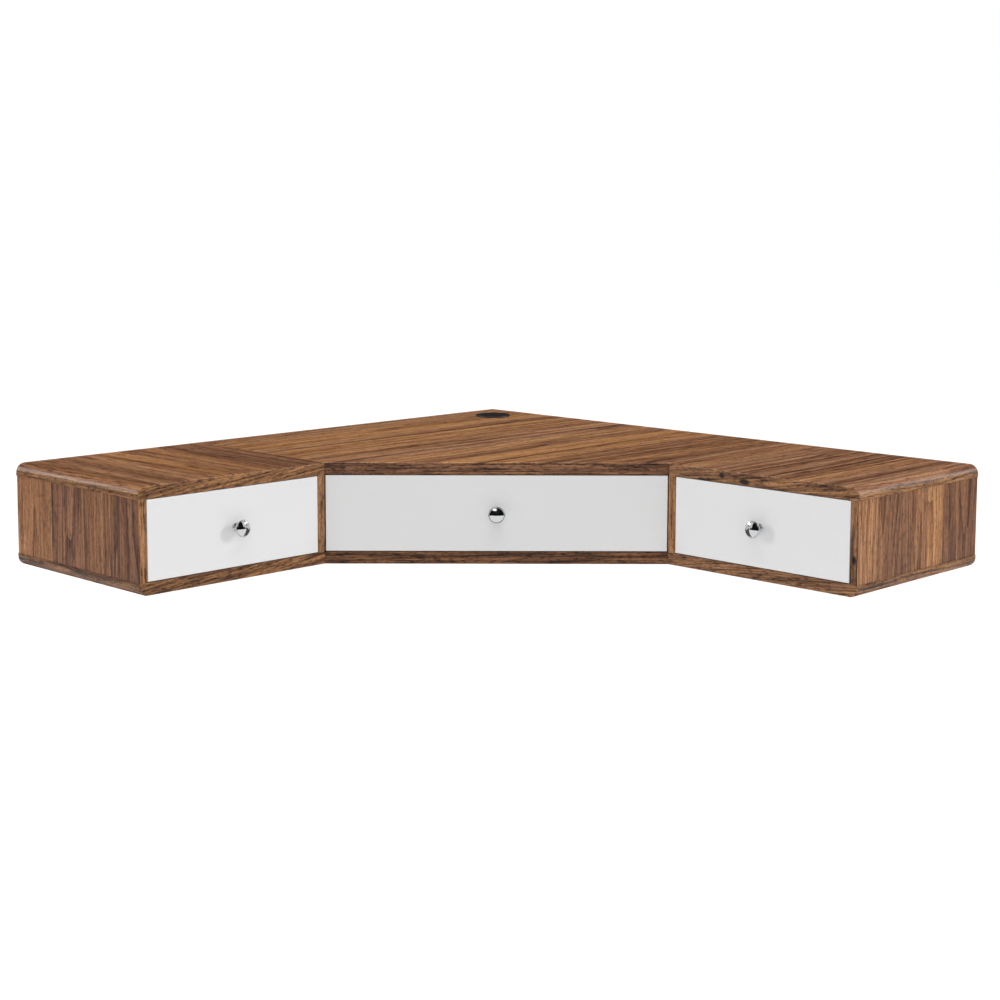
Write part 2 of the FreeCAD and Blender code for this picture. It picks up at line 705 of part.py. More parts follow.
def grommet():
    """Flanged sleeve in the top board and the turning cap with a cable notch that lies in its seat."""
    spot = Frame("grommet_offset", "-grommet_offset", "desk_height")
    outer = "(grommet_hole_radius - grommet_fit)"
    bore = "(grommet_hole_radius - grommet_fit - grommet_wall)"
    seat = "(flange_thk - seat_depth)"
    sleeve = new_body("cable_grommet_sleeve", spot)
    outline = [
        (bore, "-board_thk - sleeve_tail"),
        (outer, "-board_thk - sleeve_tail"),
        (outer, "0"),
        ("flange_radius", "0"),
        ("flange_radius", "flange_thk - flange_round", "flange_round"),
        ("flange_radius - flange_round", "flange_thk"),
        ("seat_radius", "flange_thk"),
        ("seat_radius", seat),
        (bore, seat),
    ]
    revolve(sleeve, outline)
    keep(sleeve)

    cap = new_body("cable_grommet_cap", spot)
    skirt = f"({bore} - cap_slack)"
    edge = "(seat_radius - cap_slack)"
    outline = [
        ("0", seat),
        (f"{skirt} - cap_wall", seat),
        (f"{skirt} - cap_wall", f"{seat} - cap_skirt"),
        (skirt, f"{seat} - cap_skirt"),
        (skirt, seat),
        (edge, seat),
        (edge, "flange_thk"),
        ("0", "flange_thk"),
    ]
    revolve(cap, outline)
    inner_end = f"({edge} - notch_depth)"
    middle = f"({inner_end} + notch_width / 2)"
    depth = "flange_thk + cap_skirt"
    mouth = box_outline("-flange_radius", f"-{middle}", "-notch_width / 2", "notch_width / 2")
    pocket(cap, "XY_Plane", "flange_thk", depth, mouth)
    pocket(cap, "XY_Plane", "flange_thk", depth, circles=[(f"-{middle}", "0", "notch_width / 2")])
    keep(cap)


def cylinder(label, radius, height, frame, tilt=None):
    """A plain pin, its axis along the frame's Z axis unless it is tilted."""
    pin = doc.addObject("Part::Cylinder", label)
    pin.setExpression("Radius", bound(radius))
    pin.setExpression("Height", bound(height))
    frame.place(pin)
    if tilt:
        pin.Placement.Rotation = tilt
    return pin


def fasteners():
    """Cam locks with their bolts, bottom screws and connector bolts: each kind is one node of solids."""
    towards_x = FreeCAD.Rotation(FreeCAD.Vector(0, 1, 0), 90)
    away_from_x = FreeCAD.Rotation(FreeCAD.Vector(0, 1, 0), -90)
    diagonal = FreeCAD.Rotation(FreeCAD.Vector(0, 0, 1), CORNER_ANGLE) * away_from_x
    partition_right = partition_spots[: len(FASTENER_SHARES)]
    cam_face = f"{PARTITION_FACE} + side_thk"
    cams, bolts = [], []
    outer_face = "wall_run - side_inset - side_thk"
    straight = (
        (outer_spots, outer_face, CAM_HEIGHT, towards_x),
        (outer_spots, outer_face, LOW_CAM_HEIGHT, towards_x),
        (inner_spots, "corner_run + side_thk", CAM_HEIGHT, away_from_x),
        (module_spots, "corner_run - side_thk", CAM_HEIGHT, towards_x),
    )
    for spots, face, height, tilt in straight:
        for x, y in spots:
            cams.append(cylinder("cam", "cam_radius", "cam_depth", Frame(face, y, height), tilt))
    for depth in partition_depths:
        spot = Frame(*CENTRE_DRAWER.outside(cam_face, depth), CAM_HEIGHT)
        cams.append(cylinder("cam", "cam_radius", "cam_depth", spot, diagonal))
    bolt_length = "cam_bolt_grip + cam_edge - cam_radius - fastener_slack"
    screwed_spots = inner_spots + module_spots + partition_right
    high_foot = f"{CAM_HEIGHT} + cam_radius + fastener_slack"
    for x, y in outer_spots + screwed_spots:
        bolts.append(cylinder("cam_bolt", "cam_bolt_radius", bolt_length, Frame(x, y, high_foot)))
    for x, y in outer_spots:
        low_bolt = Frame(x, y, "board_thk - cam_bolt_grip")
        bolts.append(cylinder("cam_bolt", "cam_bolt_radius", bolt_length, low_bolt))
    screws = [screw_body(Frame(x, y, "0")) for x, y in screwed_spots]
    connectors = [connector_body(Frame("corner_run", y, BOLT_HEIGHT)) for y in bolt_depths]
    for label, right in (
        ("cam_locks", cams),
        ("cam_bolts", bolts),
        ("bottom_screws", screws),
        ("connector_bolts", connectors),
    ):
        half = grouped(f"{label}_right", right)
        keep(grouped(label, [half, mirrored(f"{label}_left", half)]))


def screw_body(frame):
    """Flat-headed screw that holds a panel to its bottom board, head down."""
    screw = new_body("screw", frame)
    outline = [
        ("0", "0"),
        ("screw_head_radius", "0"),
        ("screw_head_radius", "screw_head_thk"),
        ("screw_radius", "screw_head_thk"),
        ("screw_radius", "screw_length"),
        ("0", "screw_length"),
    ]
    return revolve(screw, outline)


def connector_body(frame):
    """Connector bolt with a flat head at each end, through a wing's inner side and a module side."""
    bolt = new_body("connector", frame)
    end = "(side_thk + bolt_head_thk)"
    outline = [
        ("0", f"-{end}"),
        ("bolt_head_radius", f"-{end}"),
        ("bolt_head_radius", "-side_thk"),
        ("bolt_radius", "-side_thk"),
        ("bolt_radius", "side_thk"),
        ("bolt_head_radius", "side_thk"),
        ("bolt_head_radius", end),
        ("0", end),
    ]
    revolve(bolt, outline)
    bolt.Placement.Rotation = FreeCAD.Rotation(FreeCAD.Vector(0, 1, 0), 90)
    return bolt


wing_boards()
wing_panels()
centre_boards()
centre_panels()
grommet()
wing_front = f"({WING_ROOM} - 2 * front_gap)"
wing_box = f"({WING_ROOM} - 2 * runner_space)"
for piece in build_drawer("right", WING_DRAWER, wing_front, wing_box, WING_BOX_DEPTH):
    swapped = {"right": "left", "left": "right"}
    other = re.sub("right|left", lambda m: swapped[m[0]], piece.Label)
    keep_both(piece, other)
centre_front = f"({FRONT_SPAN} - 2 * front_gap)"
for piece in build_drawer("centre", CENTRE_DRAWER, centre_front, "centre_box_width", "centre_box_depth"):
    keep(piece)
fasteners()
doc.recompute()

for thing in doc.Objects:
    if {"Invalid", "Error"} & set(thing.State):
        raise RuntimeError(f"{thing.Label} failed: {thing.State}")
for label, piece in pieces.items():
    if piece.Shape.isNull() or not piece.Shape.isValid():
        raise RuntimeError(f"{label} has no valid shape")

os.makedirs("parts", exist_ok=True)
for label, piece in pieces.items():
    piece.Shape.exportStep(f"parts/{label}.step")
print(len(pieces), "pieces written")
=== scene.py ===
"""Looks of a corner wall desk: walnut-look boards, white fronts, chrome knobs and a black cable grommet.

Metres, in the desk's own frame: the origin is the room corner at the height of the underside, +Z is up,
the left wall is the plane X = 0 and the right wall is the plane Y = 0. Sizes of small pieces are written
in millimetres.
"""

from collections import namedtuple
import math

import bmesh
import bpy
from mathutils import Matrix, Vector


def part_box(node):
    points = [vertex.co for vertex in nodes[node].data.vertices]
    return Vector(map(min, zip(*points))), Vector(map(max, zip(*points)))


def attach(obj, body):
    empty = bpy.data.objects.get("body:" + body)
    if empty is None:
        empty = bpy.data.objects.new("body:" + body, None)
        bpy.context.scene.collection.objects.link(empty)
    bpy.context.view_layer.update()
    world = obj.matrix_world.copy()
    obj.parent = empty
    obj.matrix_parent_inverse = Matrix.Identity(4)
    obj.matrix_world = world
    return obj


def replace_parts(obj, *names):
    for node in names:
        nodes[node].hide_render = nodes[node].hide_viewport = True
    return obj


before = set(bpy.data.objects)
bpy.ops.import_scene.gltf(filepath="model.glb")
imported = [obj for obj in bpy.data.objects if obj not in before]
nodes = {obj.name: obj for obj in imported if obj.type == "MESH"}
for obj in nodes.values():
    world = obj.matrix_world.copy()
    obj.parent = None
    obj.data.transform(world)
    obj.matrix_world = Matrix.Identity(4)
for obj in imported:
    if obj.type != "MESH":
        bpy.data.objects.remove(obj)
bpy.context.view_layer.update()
scene = bpy.context.scene
scene.view_settings.view_transform = "Standard"

MM = 0.001
UP = Vector((0, 0, 1))
WHITE = (1.0, 1.0, 1.0, 1.0)
SIDES = ("left", "right")
LEVELS = ("top", "bottom")
DRAWERS = ("left", "right", "centre")
DESK_HEIGHT = 152.0
# Which way each drawer opens, half the width of its box and the depth of its box
OPENS = {
    "left": Vector((1, 0, 0)),
    "right": Vector((0, -1, 0)),
    "centre": Vector((1, -1, 0)).normalized(),
}
BOX_HALF = {"left": 139.5, "right": 139.5, "centre": 127.0}
BOX_DEPTH = {"left": 250.0, "right": 250.0, "centre": 400.0}
FRONT_THK = 15.0


def drawer_frame(drawer):
    """Placement of a drawer, from its front's face: X to the right along it, Y into the desk, Z up."""
    low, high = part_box(f"{drawer}_drawer_front")
    opens = OPENS[drawer]
    origin = (low + high) / 2 + opens * FRONT_THK * MM / 2
    right = UP.cross(opens)
    turn = Matrix((right, -opens, UP)).transposed().to_4x4()
    return Matrix.Translation((origin.x, origin.y, 0)) @ turn


# Node helpers


def add(tree, kind, inputs=None, **settings):
    """A node of a tree: settings are its properties, inputs are values or sockets by name or place."""
    node = tree.nodes.new(kind)
    for name, value in settings.items():
        setattr(node, name, value)
    for key, value in (inputs or {}).items():
        if isinstance(value, bpy.types.NodeSocket):
            tree.links.new(value, node.inputs[key])
        else:
            node.inputs[key].default_value = value
    return node


def math_node(tree, operation, *values):
    """The result of a math node."""
    return add(tree, "ShaderNodeMath", dict(enumerate(values)), operation=operation).outputs[0]


def vector_node(tree, operation, first, second):
    """The vector result of a vector math node."""
    return add(tree, "ShaderNodeVectorMath", {0: first, 1: second}, operation=operation).outputs[0]


def mix_colour(tree, factor, first, second, blend="MIX"):
    """One colour mixed with another."""
    inputs = {0: factor, 6: first, 7: second}
    return add(tree, "ShaderNodeMix", inputs, data_type="RGBA", blend_type=blend).outputs[2]


def spread(tree, value, low, high, to_low=0.0, to_high=1.0):
    """A value moved from one range to another and held within it."""
    inputs = {0: value, 1: low, 2: high, 3: to_low, 4: to_high}
    return add(tree, "ShaderNodeMapRange", inputs, clamp=True).outputs[0]


def noise(tree, place, scale, detail, roughness=0.5):
    """The value of a noise texture."""
    inputs = {"Vector": place, "Scale": scale, "Detail": detail, "Roughness": roughness}
    return add(tree, "ShaderNodeTexNoise", inputs).outputs["Fac"]


def light_amount(value):
    """The amount of light of a display value from 0 to 255."""
    share = value / 255
    if share <= 0.04045:
        return share / 12.92
    return ((share + 0.055) / 1.055) ** 2.4


def tone(red, green, blue):
    """A colour written in display values."""
    return (light_amount(red), light_amount(green), light_amount(blue), 1.0)


def new_finish(name):
    """An empty material: its tree and its surface shader."""
    material = bpy.data.materials.new(name)
    material.use_nodes = True
    tree = material.node_tree
    return material, tree, tree.nodes["Principled BSDF"]


def object_place(tree):
    """The place on the desk, in its own frame."""
    return add(tree, "ShaderNodeTexCoord").outputs["Object"]


def bumped(tree, shader, height, depth, strength):
    """Give a surface a fine relief, its depth in millimetres."""
    inputs = {"Height": height, "Distance": depth * MM, "Strength": strength}
    bump = add(tree, "ShaderNodeBump", inputs)
    tree.links.new(bump.outputs["Normal"], shader.inputs["Normal"])


# Walnut laminate

# Figure of the wood: cycles per metre along and across the grain, and share of the colour
TOP_FIGURE = (
    (0.5, 12.0, 0.20),
    (0.8, 34.0, 0.20),
    (0.8, 70.0, 0.62),
    (1.2, 120.0, 0.90),
    (2.2, 300.0, 0.90),
)
UPRIGHT_FIGURE = (
    (0.9, 16.0, 0.30),
    (1.6, 60.0, 0.20),
    (2.0, 130.0, 0.20),
    (3.0, 230.0, 0.40),
    (7.0, 420.0, 0.60),
)
RAIL_FIGURE = (
    (1.6, 90.0, 0.20),
    (2.5, 200.0, 0.50),
    (4.0, 330.0, 1.10),
    (9.0, 520.0, 1.20),
)
EDGE_FIGURE = (
    (2.4, 60.0, 0.25),
    (4.0, 150.0, 0.50),
    (7.0, 300.0, 1.10),
    (14.0, 480.0, 1.20),
)
FIGURE_DETAIL = 1.0
FIGURE_ROUGHNESS = 0.55
# Layers of the figure that give the slow bands of gloss and the relief
BAND_LAYER = 1
RELIEF_LAYER = 3
# Growth rings: cycles per metre along and across the grain, rings in each cycle, and share of the colour
TOP_RINGS = (0.5, 9.0, 8.0, 0.25)
UPRIGHT_RINGS = (1.1, 18.0, 11.0, 0.36)
EDGE_RINGS = (3.0, 40.0, 9.0, 0.26)
RING_SHARPNESS = 2.5
# Dark flecks: cycles per metre along and across the grain, and share of the colour
TOP_FLECKS = (30.0, 300.0, 0.30)
UPRIGHT_FLECKS = (44.0, 400.0, 0.20)
EDGE_FLECKS = (90.0, 440.0, 0.38)
FLECK_RANGE = (0.55, 0.63)
# Pores: cycles per metre along and across the grain
PORES = (150.0, 420.0)
PORE_RANGE = (0.54, 0.66)
PORE_SHARE = 0.40
PORE_TONE = tone(48, 30, 23)
PORE_RELIEF_SHARE = 0.6
# Staves that the laminate copies, and how much of the colour goes from stave to stave
STAVES_PER_METRE = 24.0
STAVE_LEAN = 0.6
STAVE_RANDOMNESS = 0.9
TOP_STAVE_SHARE = 0.20
UPRIGHT_STAVE_SHARE = 0.48
EDGE_STAVE_SHARE = 0.12
TOP_LOOKS = (TOP_FIGURE, TOP_RINGS, TOP_FLECKS, TOP_STAVE_SHARE)
UPRIGHT_LOOKS = (UPRIGHT_FIGURE, UPRIGHT_RINGS, UPRIGHT_FLECKS, UPRIGHT_STAVE_SHARE)
# Place of the plain wood between the darkest and the lightest tone
PLAIN_DEPTH = 0.655
BOARD_TONES = (
    (0.00, (56, 33, 25)),
    (0.25, (93, 60, 43)),
    (0.50, (133, 90, 61)),
    (0.75, (166, 117, 79)),
    (1.00, (196, 146, 102)),
)
RAIL_TONES = (
    (0.00, (42, 27, 20)),
    (0.30, (78, 52, 38)),
    (0.55, (110, 75, 53)),
    (1.00, (158, 112, 80)),
)
EDGE_TONES = (
    (0.00, (48, 30, 20)),
    (0.30, (92, 61, 40)),
    (0.60, (130, 91, 59)),
    (1.00, (176, 128, 84)),
)
# Tint of a stave, from golden to plum: where it starts, and how two of the stave's random values move it
GOLDEN_TINT = (1.08, 1.02, 0.82, 1.0)
PLUM_TINT = (0.95, 0.98, 1.18, 1.0)
TINT_START = 0.6
TINT_BY_DEPTH = -0.6
TINT_BY_CHANCE = 0.4
# Which stretch of the wood each board is cut from
BOARD_SEEDS = {
    "top": {"left": 288.0, "right": 176.0, "centre": 177.0},
    "bottom": {"left": 4.0, "right": 5.0, "centre": 6.0},
}
UPRIGHT_SEEDS = {"left": 208.0, "right": 244.0}
BACK_SEEDS = {"left": 9.0, "right": 10.0}
PARTITION_SEED = 11.0
STRIP_SEED_STEP = 3.0
SEED_SHIFT = (1.37, 0.71, 0.43)
# How much lighter than the plain figure each board, upright and edge strip is. Part of this is painted
# light and shade: the bottom boards are lifted as painted light on their rounded lower edges, which sit in
# shade, and the bottom rail is lowered as painted shade.
BOARD_LIFTS = {
    "top": {"left": 0.13, "right": 0.18, "centre": 0.17},
    # The bottom boards' lifts are partly painted light on their shaded rounded lower edges
    "bottom": {"left": 0.03, "right": 0.18, "centre": 0.10},
}
UPRIGHT_LIFTS = {"left": -0.01, "right": 0.10}
LIP_LIFTS = {"left_top": 0.09, "left_bottom": -0.05, "right_top": 0.07, "right_bottom": 0.08}
END_LIFTS = {"left_top": 0.16, "left_bottom": -0.09, "right_top": 0.18, "right_bottom": 0.06}
STRIP_LIFTS = {"left_outer": 0.20, "left_inner": 0.31, "right_outer": 0.00, "right_inner": 0.31}
# The bottom rail's lower lift is painted shade
RAIL_LIFTS = {"top": 0.02, "bottom": -0.13}
# Knots on front edges: the place of each, and its size along, into and up the board
LIP_KNOTS = {
    "right_top": (
        ((0.768, -0.311, 0.1445), (0.0055, 0.006, 0.0045)),
        ((0.808, -0.311, 0.1390), (0.0105, 0.006, 0.0050)),
    ),
}
STRIP_KNOTS = {"right_outer": (((0.9930, -0.311, 0.0520), (0.0045, 0.006, 0.0075)),)}
KNOT_TONE = tone(34, 20, 15)
KNOT_EDGE = (0.55, 1.05)
KNOT_STRENGTH = 0.95
# Sway of the grain: cycles per metre, and how far to either side
SWAY_PITCH = (2.6, 6.0, 6.0)
SWAY = 0.01
SLANT = math.radians(7)
# Turns that bring the first axis of the grain onto a direction of the desk
GRAIN_TURNS = {
    "x": (0.0, 0.0, 0.0),
    "y": (0.0, 0.0, -math.pi / 2),
    "z": (0.0, math.pi / 2, 0.0),
    "diagonal": (0.0, 0.0, -math.pi / 4),
    "cross": (0.0, 0.0, math.pi / 4),
    "slant_left": (-SLANT, 0.0, -math.pi / 2),
    "slant_right": (0.0, SLANT, 0.0),
}
# How squarely a face looks an edge's way where its strip starts and where it is whole
STRIP_FACING = (0.8, 0.9)
NOISE_MIDDLE = 0.5
NOISE_RANGE = (0.3, 0.7)
WALNUT_ROUGHNESS = (0.42, 0.32)
WALNUT_SPECULAR = 0.25
WALNUT_RELIEF = 0.12
WALNUT_RELIEF_STRENGTH = 0.5


def grain_place(tree, direction, seed):
    """A place in the wood, its first axis along the grain: straight, and gently swaying across it."""
    shift = tuple(seed * step for step in SEED_SHIFT)
    inputs = {"Vector": object_place(tree), "Rotation": GRAIN_TURNS[direction], "Location": shift}
    straight = add(tree, "ShaderNodeMapping", inputs).outputs[0]
    sway = noise(tree, vector_node(tree, "MULTIPLY", straight, SWAY_PITCH), 1.0, FIGURE_DETAIL)
    sway = math_node(tree, "MULTIPLY_ADD", sway, 2 * SWAY, -SWAY)
    offset = add(tree, "ShaderNodeCombineXYZ", {1: sway, 2: sway}).outputs[0]
    return straight, vector_node(tree, "ADD", straight, offset)


def stretched_noise(tree, place, along, over):
    """Noise drawn out along the grain."""
    drawn_out = vector_node(tree, "MULTIPLY", place, (along, over, over))
    return noise(tree, drawn_out, 1.0, FIGURE_DETAIL, FIGURE_ROUGHNESS)


def staves(tree, straight):
    """Joined staves that the laminate copies: three random values of each."""
    split = add(tree, "ShaderNodeSeparateXYZ", {0: straight}).outputs
    over = math_node(tree, "MULTIPLY_ADD", split[2], STAVE_LEAN, split[1])
    inputs = {"W": over, "Scale": STAVES_PER_METRE, "Randomness": STAVE_RANDOMNESS}
    cells = add(tree, "ShaderNodeTexVoronoi", inputs, voronoi_dimensions="1D")
    return add(tree, "ShaderNodeSeparateColor", {0: cells.outputs["Color"]}).outputs


def growth_rings(tree, place, along, over, count):
    """Growth rings: contours of drawn-out noise, each darkening slowly and ending sharply."""
    height = math_node(tree, "MULTIPLY", stretched_noise(tree, place, along, over), count)
    return math_node(tree, "POWER", math_node(tree, "FRACT", height), RING_SHARPNESS)


def toned(tree, value, tones):
    """A colour ramp over a value."""
    ramp = add(tree, "ShaderNodeValToRGB", {0: value})
    stops = ramp.color_ramp.elements
    while len(stops) < len(tones):
        stops.new(0.5)
    for stop, (position, colour) in zip(stops, tones):
        stop.position = position
        stop.color = tone(*colour)
    return ramp.outputs[0]


def tinted(tree, colour, chances):
    """A colour tinted between golden and plum, stave by stave."""
    hue = math_node(tree, "MULTIPLY_ADD", chances[1], TINT_BY_CHANCE, TINT_START)
    hue = math_node(tree, "MULTIPLY_ADD", chances[0], TINT_BY_DEPTH, hue)
    tint = mix_colour(tree, hue, GOLDEN_TINT, PLUM_TINT)
    return mix_colour(tree, 1.0, colour, tint, "MULTIPLY")


def grain(tree, direction, seed, tones, figure, rings, flecks, stave_share, lift):
    """Walnut figure along a direction: its colour, its relief and its slow bands."""
    straight, place = grain_place(tree, direction, seed)
    chances = staves(tree, straight)
    jump = add(tree, "ShaderNodeCombineXYZ", {0: chances[2], 1: chances[1]}).outputs[0]
    place = vector_node(tree, "ADD", place, jump)
    plain = PLAIN_DEPTH + lift - stave_share / 2
    depth = math_node(tree, "MULTIPLY_ADD", chances[0], stave_share, plain)
    layers = []
    for along, over, share in figure:
        layer = stretched_noise(tree, place, along, over)
        layers.append(layer)
        swing = math_node(tree, "SUBTRACT", layer, NOISE_MIDDLE)
        depth = math_node(tree, "MULTIPLY_ADD", swing, share, depth)
    *ring_sizes, ring_share = rings
    depth = math_node(tree, "MULTIPLY_ADD", growth_rings(tree, place, *ring_sizes), -ring_share, depth)
    *fleck_sizes, fleck_share = flecks
    marks = spread(tree, stretched_noise(tree, place, *fleck_sizes), *FLECK_RANGE)
    depth = math_node(tree, "MULTIPLY_ADD", marks, -fleck_share, depth)
    colour = tinted(tree, toned(tree, depth, tones), chances)
    pores = spread(tree, stretched_noise(tree, place, *PORES), *PORE_RANGE)
    colour = mix_colour(tree, math_node(tree, "MULTIPLY", pores, PORE_SHARE), colour, PORE_TONE)
    relief = math_node(tree, "MULTIPLY_ADD", pores, -PORE_RELIEF_SHARE, layers[RELIEF_LAYER])
    return colour, relief, layers[BAND_LAYER]


def knotted(tree, colour, knots):
    """Dark knots in the wood: each is its place and its size along, into and up the board."""
    for place, size in knots:
        away = vector_node(tree, "SUBTRACT", object_place(tree), place)
        away = vector_node(tree, "DIVIDE", away, size)
        reach = add(tree, "ShaderNodeVectorMath", {0: away}, operation="LENGTH").outputs["Value"]
        colour = mix_colour(tree, spread(tree, reach, *KNOT_EDGE, KNOT_STRENGTH, 0.0), colour, KNOT_TONE)
    return colour


def facing(tree, way):
    """How squarely a face looks a way, from 0 before its edge strip to 1 on it."""
    normal = add(tree, "ShaderNodeNewGeometry").outputs["Normal"]
    square = add(tree, "ShaderNodeVectorMath", {0: normal, 1: way}, operation="DOT_PRODUCT")
    return spread(tree, square.outputs["Value"], *STRIP_FACING)


def walnut(name, direction, seed, edges=(), lift=0.0, looks=TOP_LOOKS, knots=()):
    """Satin walnut laminate, with an edge strip on the faces that look each edge's way."""
    material, tree, shader = new_finish(name)
    colour, relief, bands = grain(tree, direction, seed, BOARD_TONES, *looks, lift)
    for i, (way, edge_direction, edge_tones, edge_figure, edge_lift) in enumerate(edges):
        strip = facing(tree, way)
        edge_looks = (edge_tones, edge_figure, EDGE_RINGS, EDGE_FLECKS, EDGE_STAVE_SHARE, edge_lift)
        edge_colour, _, _ = grain(tree, edge_direction, seed + STRIP_SEED_STEP + i, *edge_looks)
        colour = mix_colour(tree, strip, colour, edge_colour)
    colour = knotted(tree, colour, knots)
    tree.links.new(colour, shader.inputs["Base Color"])
    roughness = spread(tree, bands, *NOISE_RANGE, *WALNUT_ROUGHNESS)
    tree.links.new(roughness, shader.inputs["Roughness"])
    shader.inputs["Specular IOR Level"].default_value = WALNUT_SPECULAR
    bumped(tree, shader, relief, WALNUT_RELIEF, WALNUT_RELIEF_STRENGTH)
    return material


# Other finishes

FINE_DETAIL = 3.0
CLOUDS_PER_METRE = 6.0
PAINT_GLOSS_SWING = 0.05
PAINT_RELIEF_STRENGTH = 0.4
POLISH_ROUGHNESS = 0.6
POLISH_DARK_SHARE = 0.88
POLISH_GLOSS_SHARES = (0.8, 1.25)
POLISH_RELIEF_STRENGTH = 0.2


def painted(name, colour, roughness, speckle, relief, scale, wear=0.02):
    """An even finish with slight clouding, fine speckle and relief."""
    material, tree, shader = new_finish(name)
    place = object_place(tree)
    cloud = noise(tree, place, CLOUDS_PER_METRE, FINE_DETAIL)
    grit = noise(tree, place, scale, FINE_DETAIL)
    shade = math_node(tree, "MULTIPLY_ADD", cloud, wear, 1.0 - wear / 2)
    swing = math_node(tree, "SUBTRACT", grit, NOISE_MIDDLE)
    shade = math_node(tree, "MULTIPLY_ADD", swing, speckle, shade)
    grey = add(tree, "ShaderNodeCombineColor", {0: shade, 1: shade, 2: shade}).outputs[0]
    tree.links.new(mix_colour(tree, 1.0, colour, grey, "MULTIPLY"), shader.inputs["Base Color"])
    gloss = (roughness - PAINT_GLOSS_SWING, roughness + PAINT_GLOSS_SWING)
    tree.links.new(spread(tree, grit, *NOISE_RANGE, *gloss), shader.inputs["Roughness"])
    bumped(tree, shader, grit, relief, PAINT_RELIEF_STRENGTH)
    return material


def metal(name, colour, roughness, relief, scale):
    """Bare or plated metal with faint marks in its polish."""
    material, tree, shader = new_finish(name)
    marks = noise(tree, object_place(tree), scale, FINE_DETAIL, POLISH_ROUGHNESS)
    shader.inputs["Metallic"].default_value = 1.0
    darker = tuple(POLISH_DARK_SHARE * amount for amount in colour[:3]) + (1.0,)
    tree.links.new(mix_colour(tree, marks, darker, colour), shader.inputs["Base Color"])
    gloss = [roughness * share for share in POLISH_GLOSS_SHARES]
    tree.links.new(spread(tree, marks, *NOISE_RANGE, *gloss), shader.inputs["Roughness"])
    bumped(tree, shader, marks, relief, POLISH_RELIEF_STRENGTH)
    return material


# Each paint: colour, roughness, speckle, relief in millimetres, specks per metre, and wear if it has more
white_front = painted("white_front", tone(230, 230, 230), 0.38, 0.012, 0.02, 900.0)
drawer_board = painted("drawer_board", tone(232, 231, 226), 0.5, 0.05, 0.04, 700.0)
drawer_panel = painted("drawer_panel", tone(228, 227, 221), 0.55, 0.06, 0.04, 500.0)
black_plastic = painted("black_plastic", tone(42, 41, 41), 0.42, 0.2, 0.05, 1400.0, 0.1)
runner_steel = painted("runner_steel", tone(233, 231, 224), 0.35, 0.03, 0.02, 1200.0)
nylon = painted("nylon", tone(236, 234, 226), 0.45, 0.03, 0.01, 800.0)
# Each metal: colour, roughness, relief in millimetres and marks per metre
chrome = metal("chrome", tone(228, 229, 231), 0.06, 0.002, 60.0)
zinc = metal("zinc", tone(196, 197, 198), 0.38, 0.02, 500.0)
fastener_steel = metal("fastener_steel", tone(204, 203, 198), 0.3, 0.01, 700.0)


# Finishes of the carried-over nodes

# The way each wing's end looks, the way its wall lies, and the grain across the wing and along its wall
END_WAYS = {"left": (0.0, -1.0, 0.0), "right": (1.0, 0.0, 0.0)}
WALL_WAYS = {"left": (-1.0, 0.0, 0.0), "right": (0.0, 1.0, 0.0)}
ACROSS_WING = {"left": "x", "right": "y"}
ALONG_WALL = {"left": "y", "right": "x"}


def dress(node, material):
    """Give a carried-over node its finish."""
    slots = nodes[node].data.materials
    if not slots:
        slots.append(material)
    for i in range(len(slots)):
        slots[i] = material


def edge_strip(way, direction, lift=0.0, tones=EDGE_TONES, figure=EDGE_FIGURE):
    """An edge strip: the way its faces look, and its grain, tones, figure and lift."""
    return (tuple(way), direction, tones, figure, lift)


def wall_strip(side):
    """The strip on the edges against one of the walls."""
    return edge_strip(WALL_WAYS[side], ALONG_WALL[side])


def dress_centre_boards():
    """Top and bottom of the corner module, with the darker rails over and under its drawer."""
    for level in LEVELS:
        # The bottom rail comes out darker than the top one, partly as painted shade
        rail = edge_strip(OPENS["centre"], "diagonal", RAIL_LIFTS[level], RAIL_TONES, RAIL_FIGURE)
        edges = (rail, wall_strip("right"))
        seed, lift = BOARD_SEEDS[level]["centre"], BOARD_LIFTS[level]["centre"]
        dress(f"centre_{level}_board", walnut(f"walnut_centre_{level}", "y", seed, edges, lift))


def dress_wing_boards(side):
    """Top and bottom of a wing, with strips on the front lip, the wall's edge and the rounded end."""
    for level in LEVELS:
        lip = edge_strip(OPENS[side], f"slant_{side}", LIP_LIFTS[f"{side}_{level}"])
        end = edge_strip(END_WAYS[side], ACROSS_WING[side], END_LIFTS[f"{side}_{level}"])
        edges = (lip, wall_strip(side), end)
        seed, lift = BOARD_SEEDS[level][side], BOARD_LIFTS[level][side]
        looks = (edges, lift, TOP_LOOKS, LIP_KNOTS.get(f"{side}_{level}", ()))
        dress(f"{side}_{level}_board", walnut(f"walnut_{side}_{level}", ACROSS_WING[side], seed, *looks))


def dress_uprights(side):
    """Outer and inner sides of a wing, and the side of the corner module that is bolted to it."""
    panels = {"outer": (f"{side}_outer_side",), "inner": (f"{side}_inner_side", f"centre_{side}_side")}
    for end, panel_nodes in panels.items():
        strip = edge_strip(OPENS[side], "z", STRIP_LIFTS[f"{side}_{end}"])
        looks = ((strip,), UPRIGHT_LIFTS[side], UPRIGHT_LOOKS, STRIP_KNOTS.get(f"{side}_{end}", ()))
        upright = walnut(f"walnut_{side}_{end}_uprights", "z", UPRIGHT_SEEDS[side], *looks)
        for node in panel_nodes:
            dress(node, upright)


def dress_backs(side):
    """Back boards along a wall."""
    back = walnut(f"walnut_{side}_back", ALONG_WALL[side], BACK_SEEDS[side])
    dress(f"{side}_back_board", back)
    dress(f"centre_{side}_back_board", back)


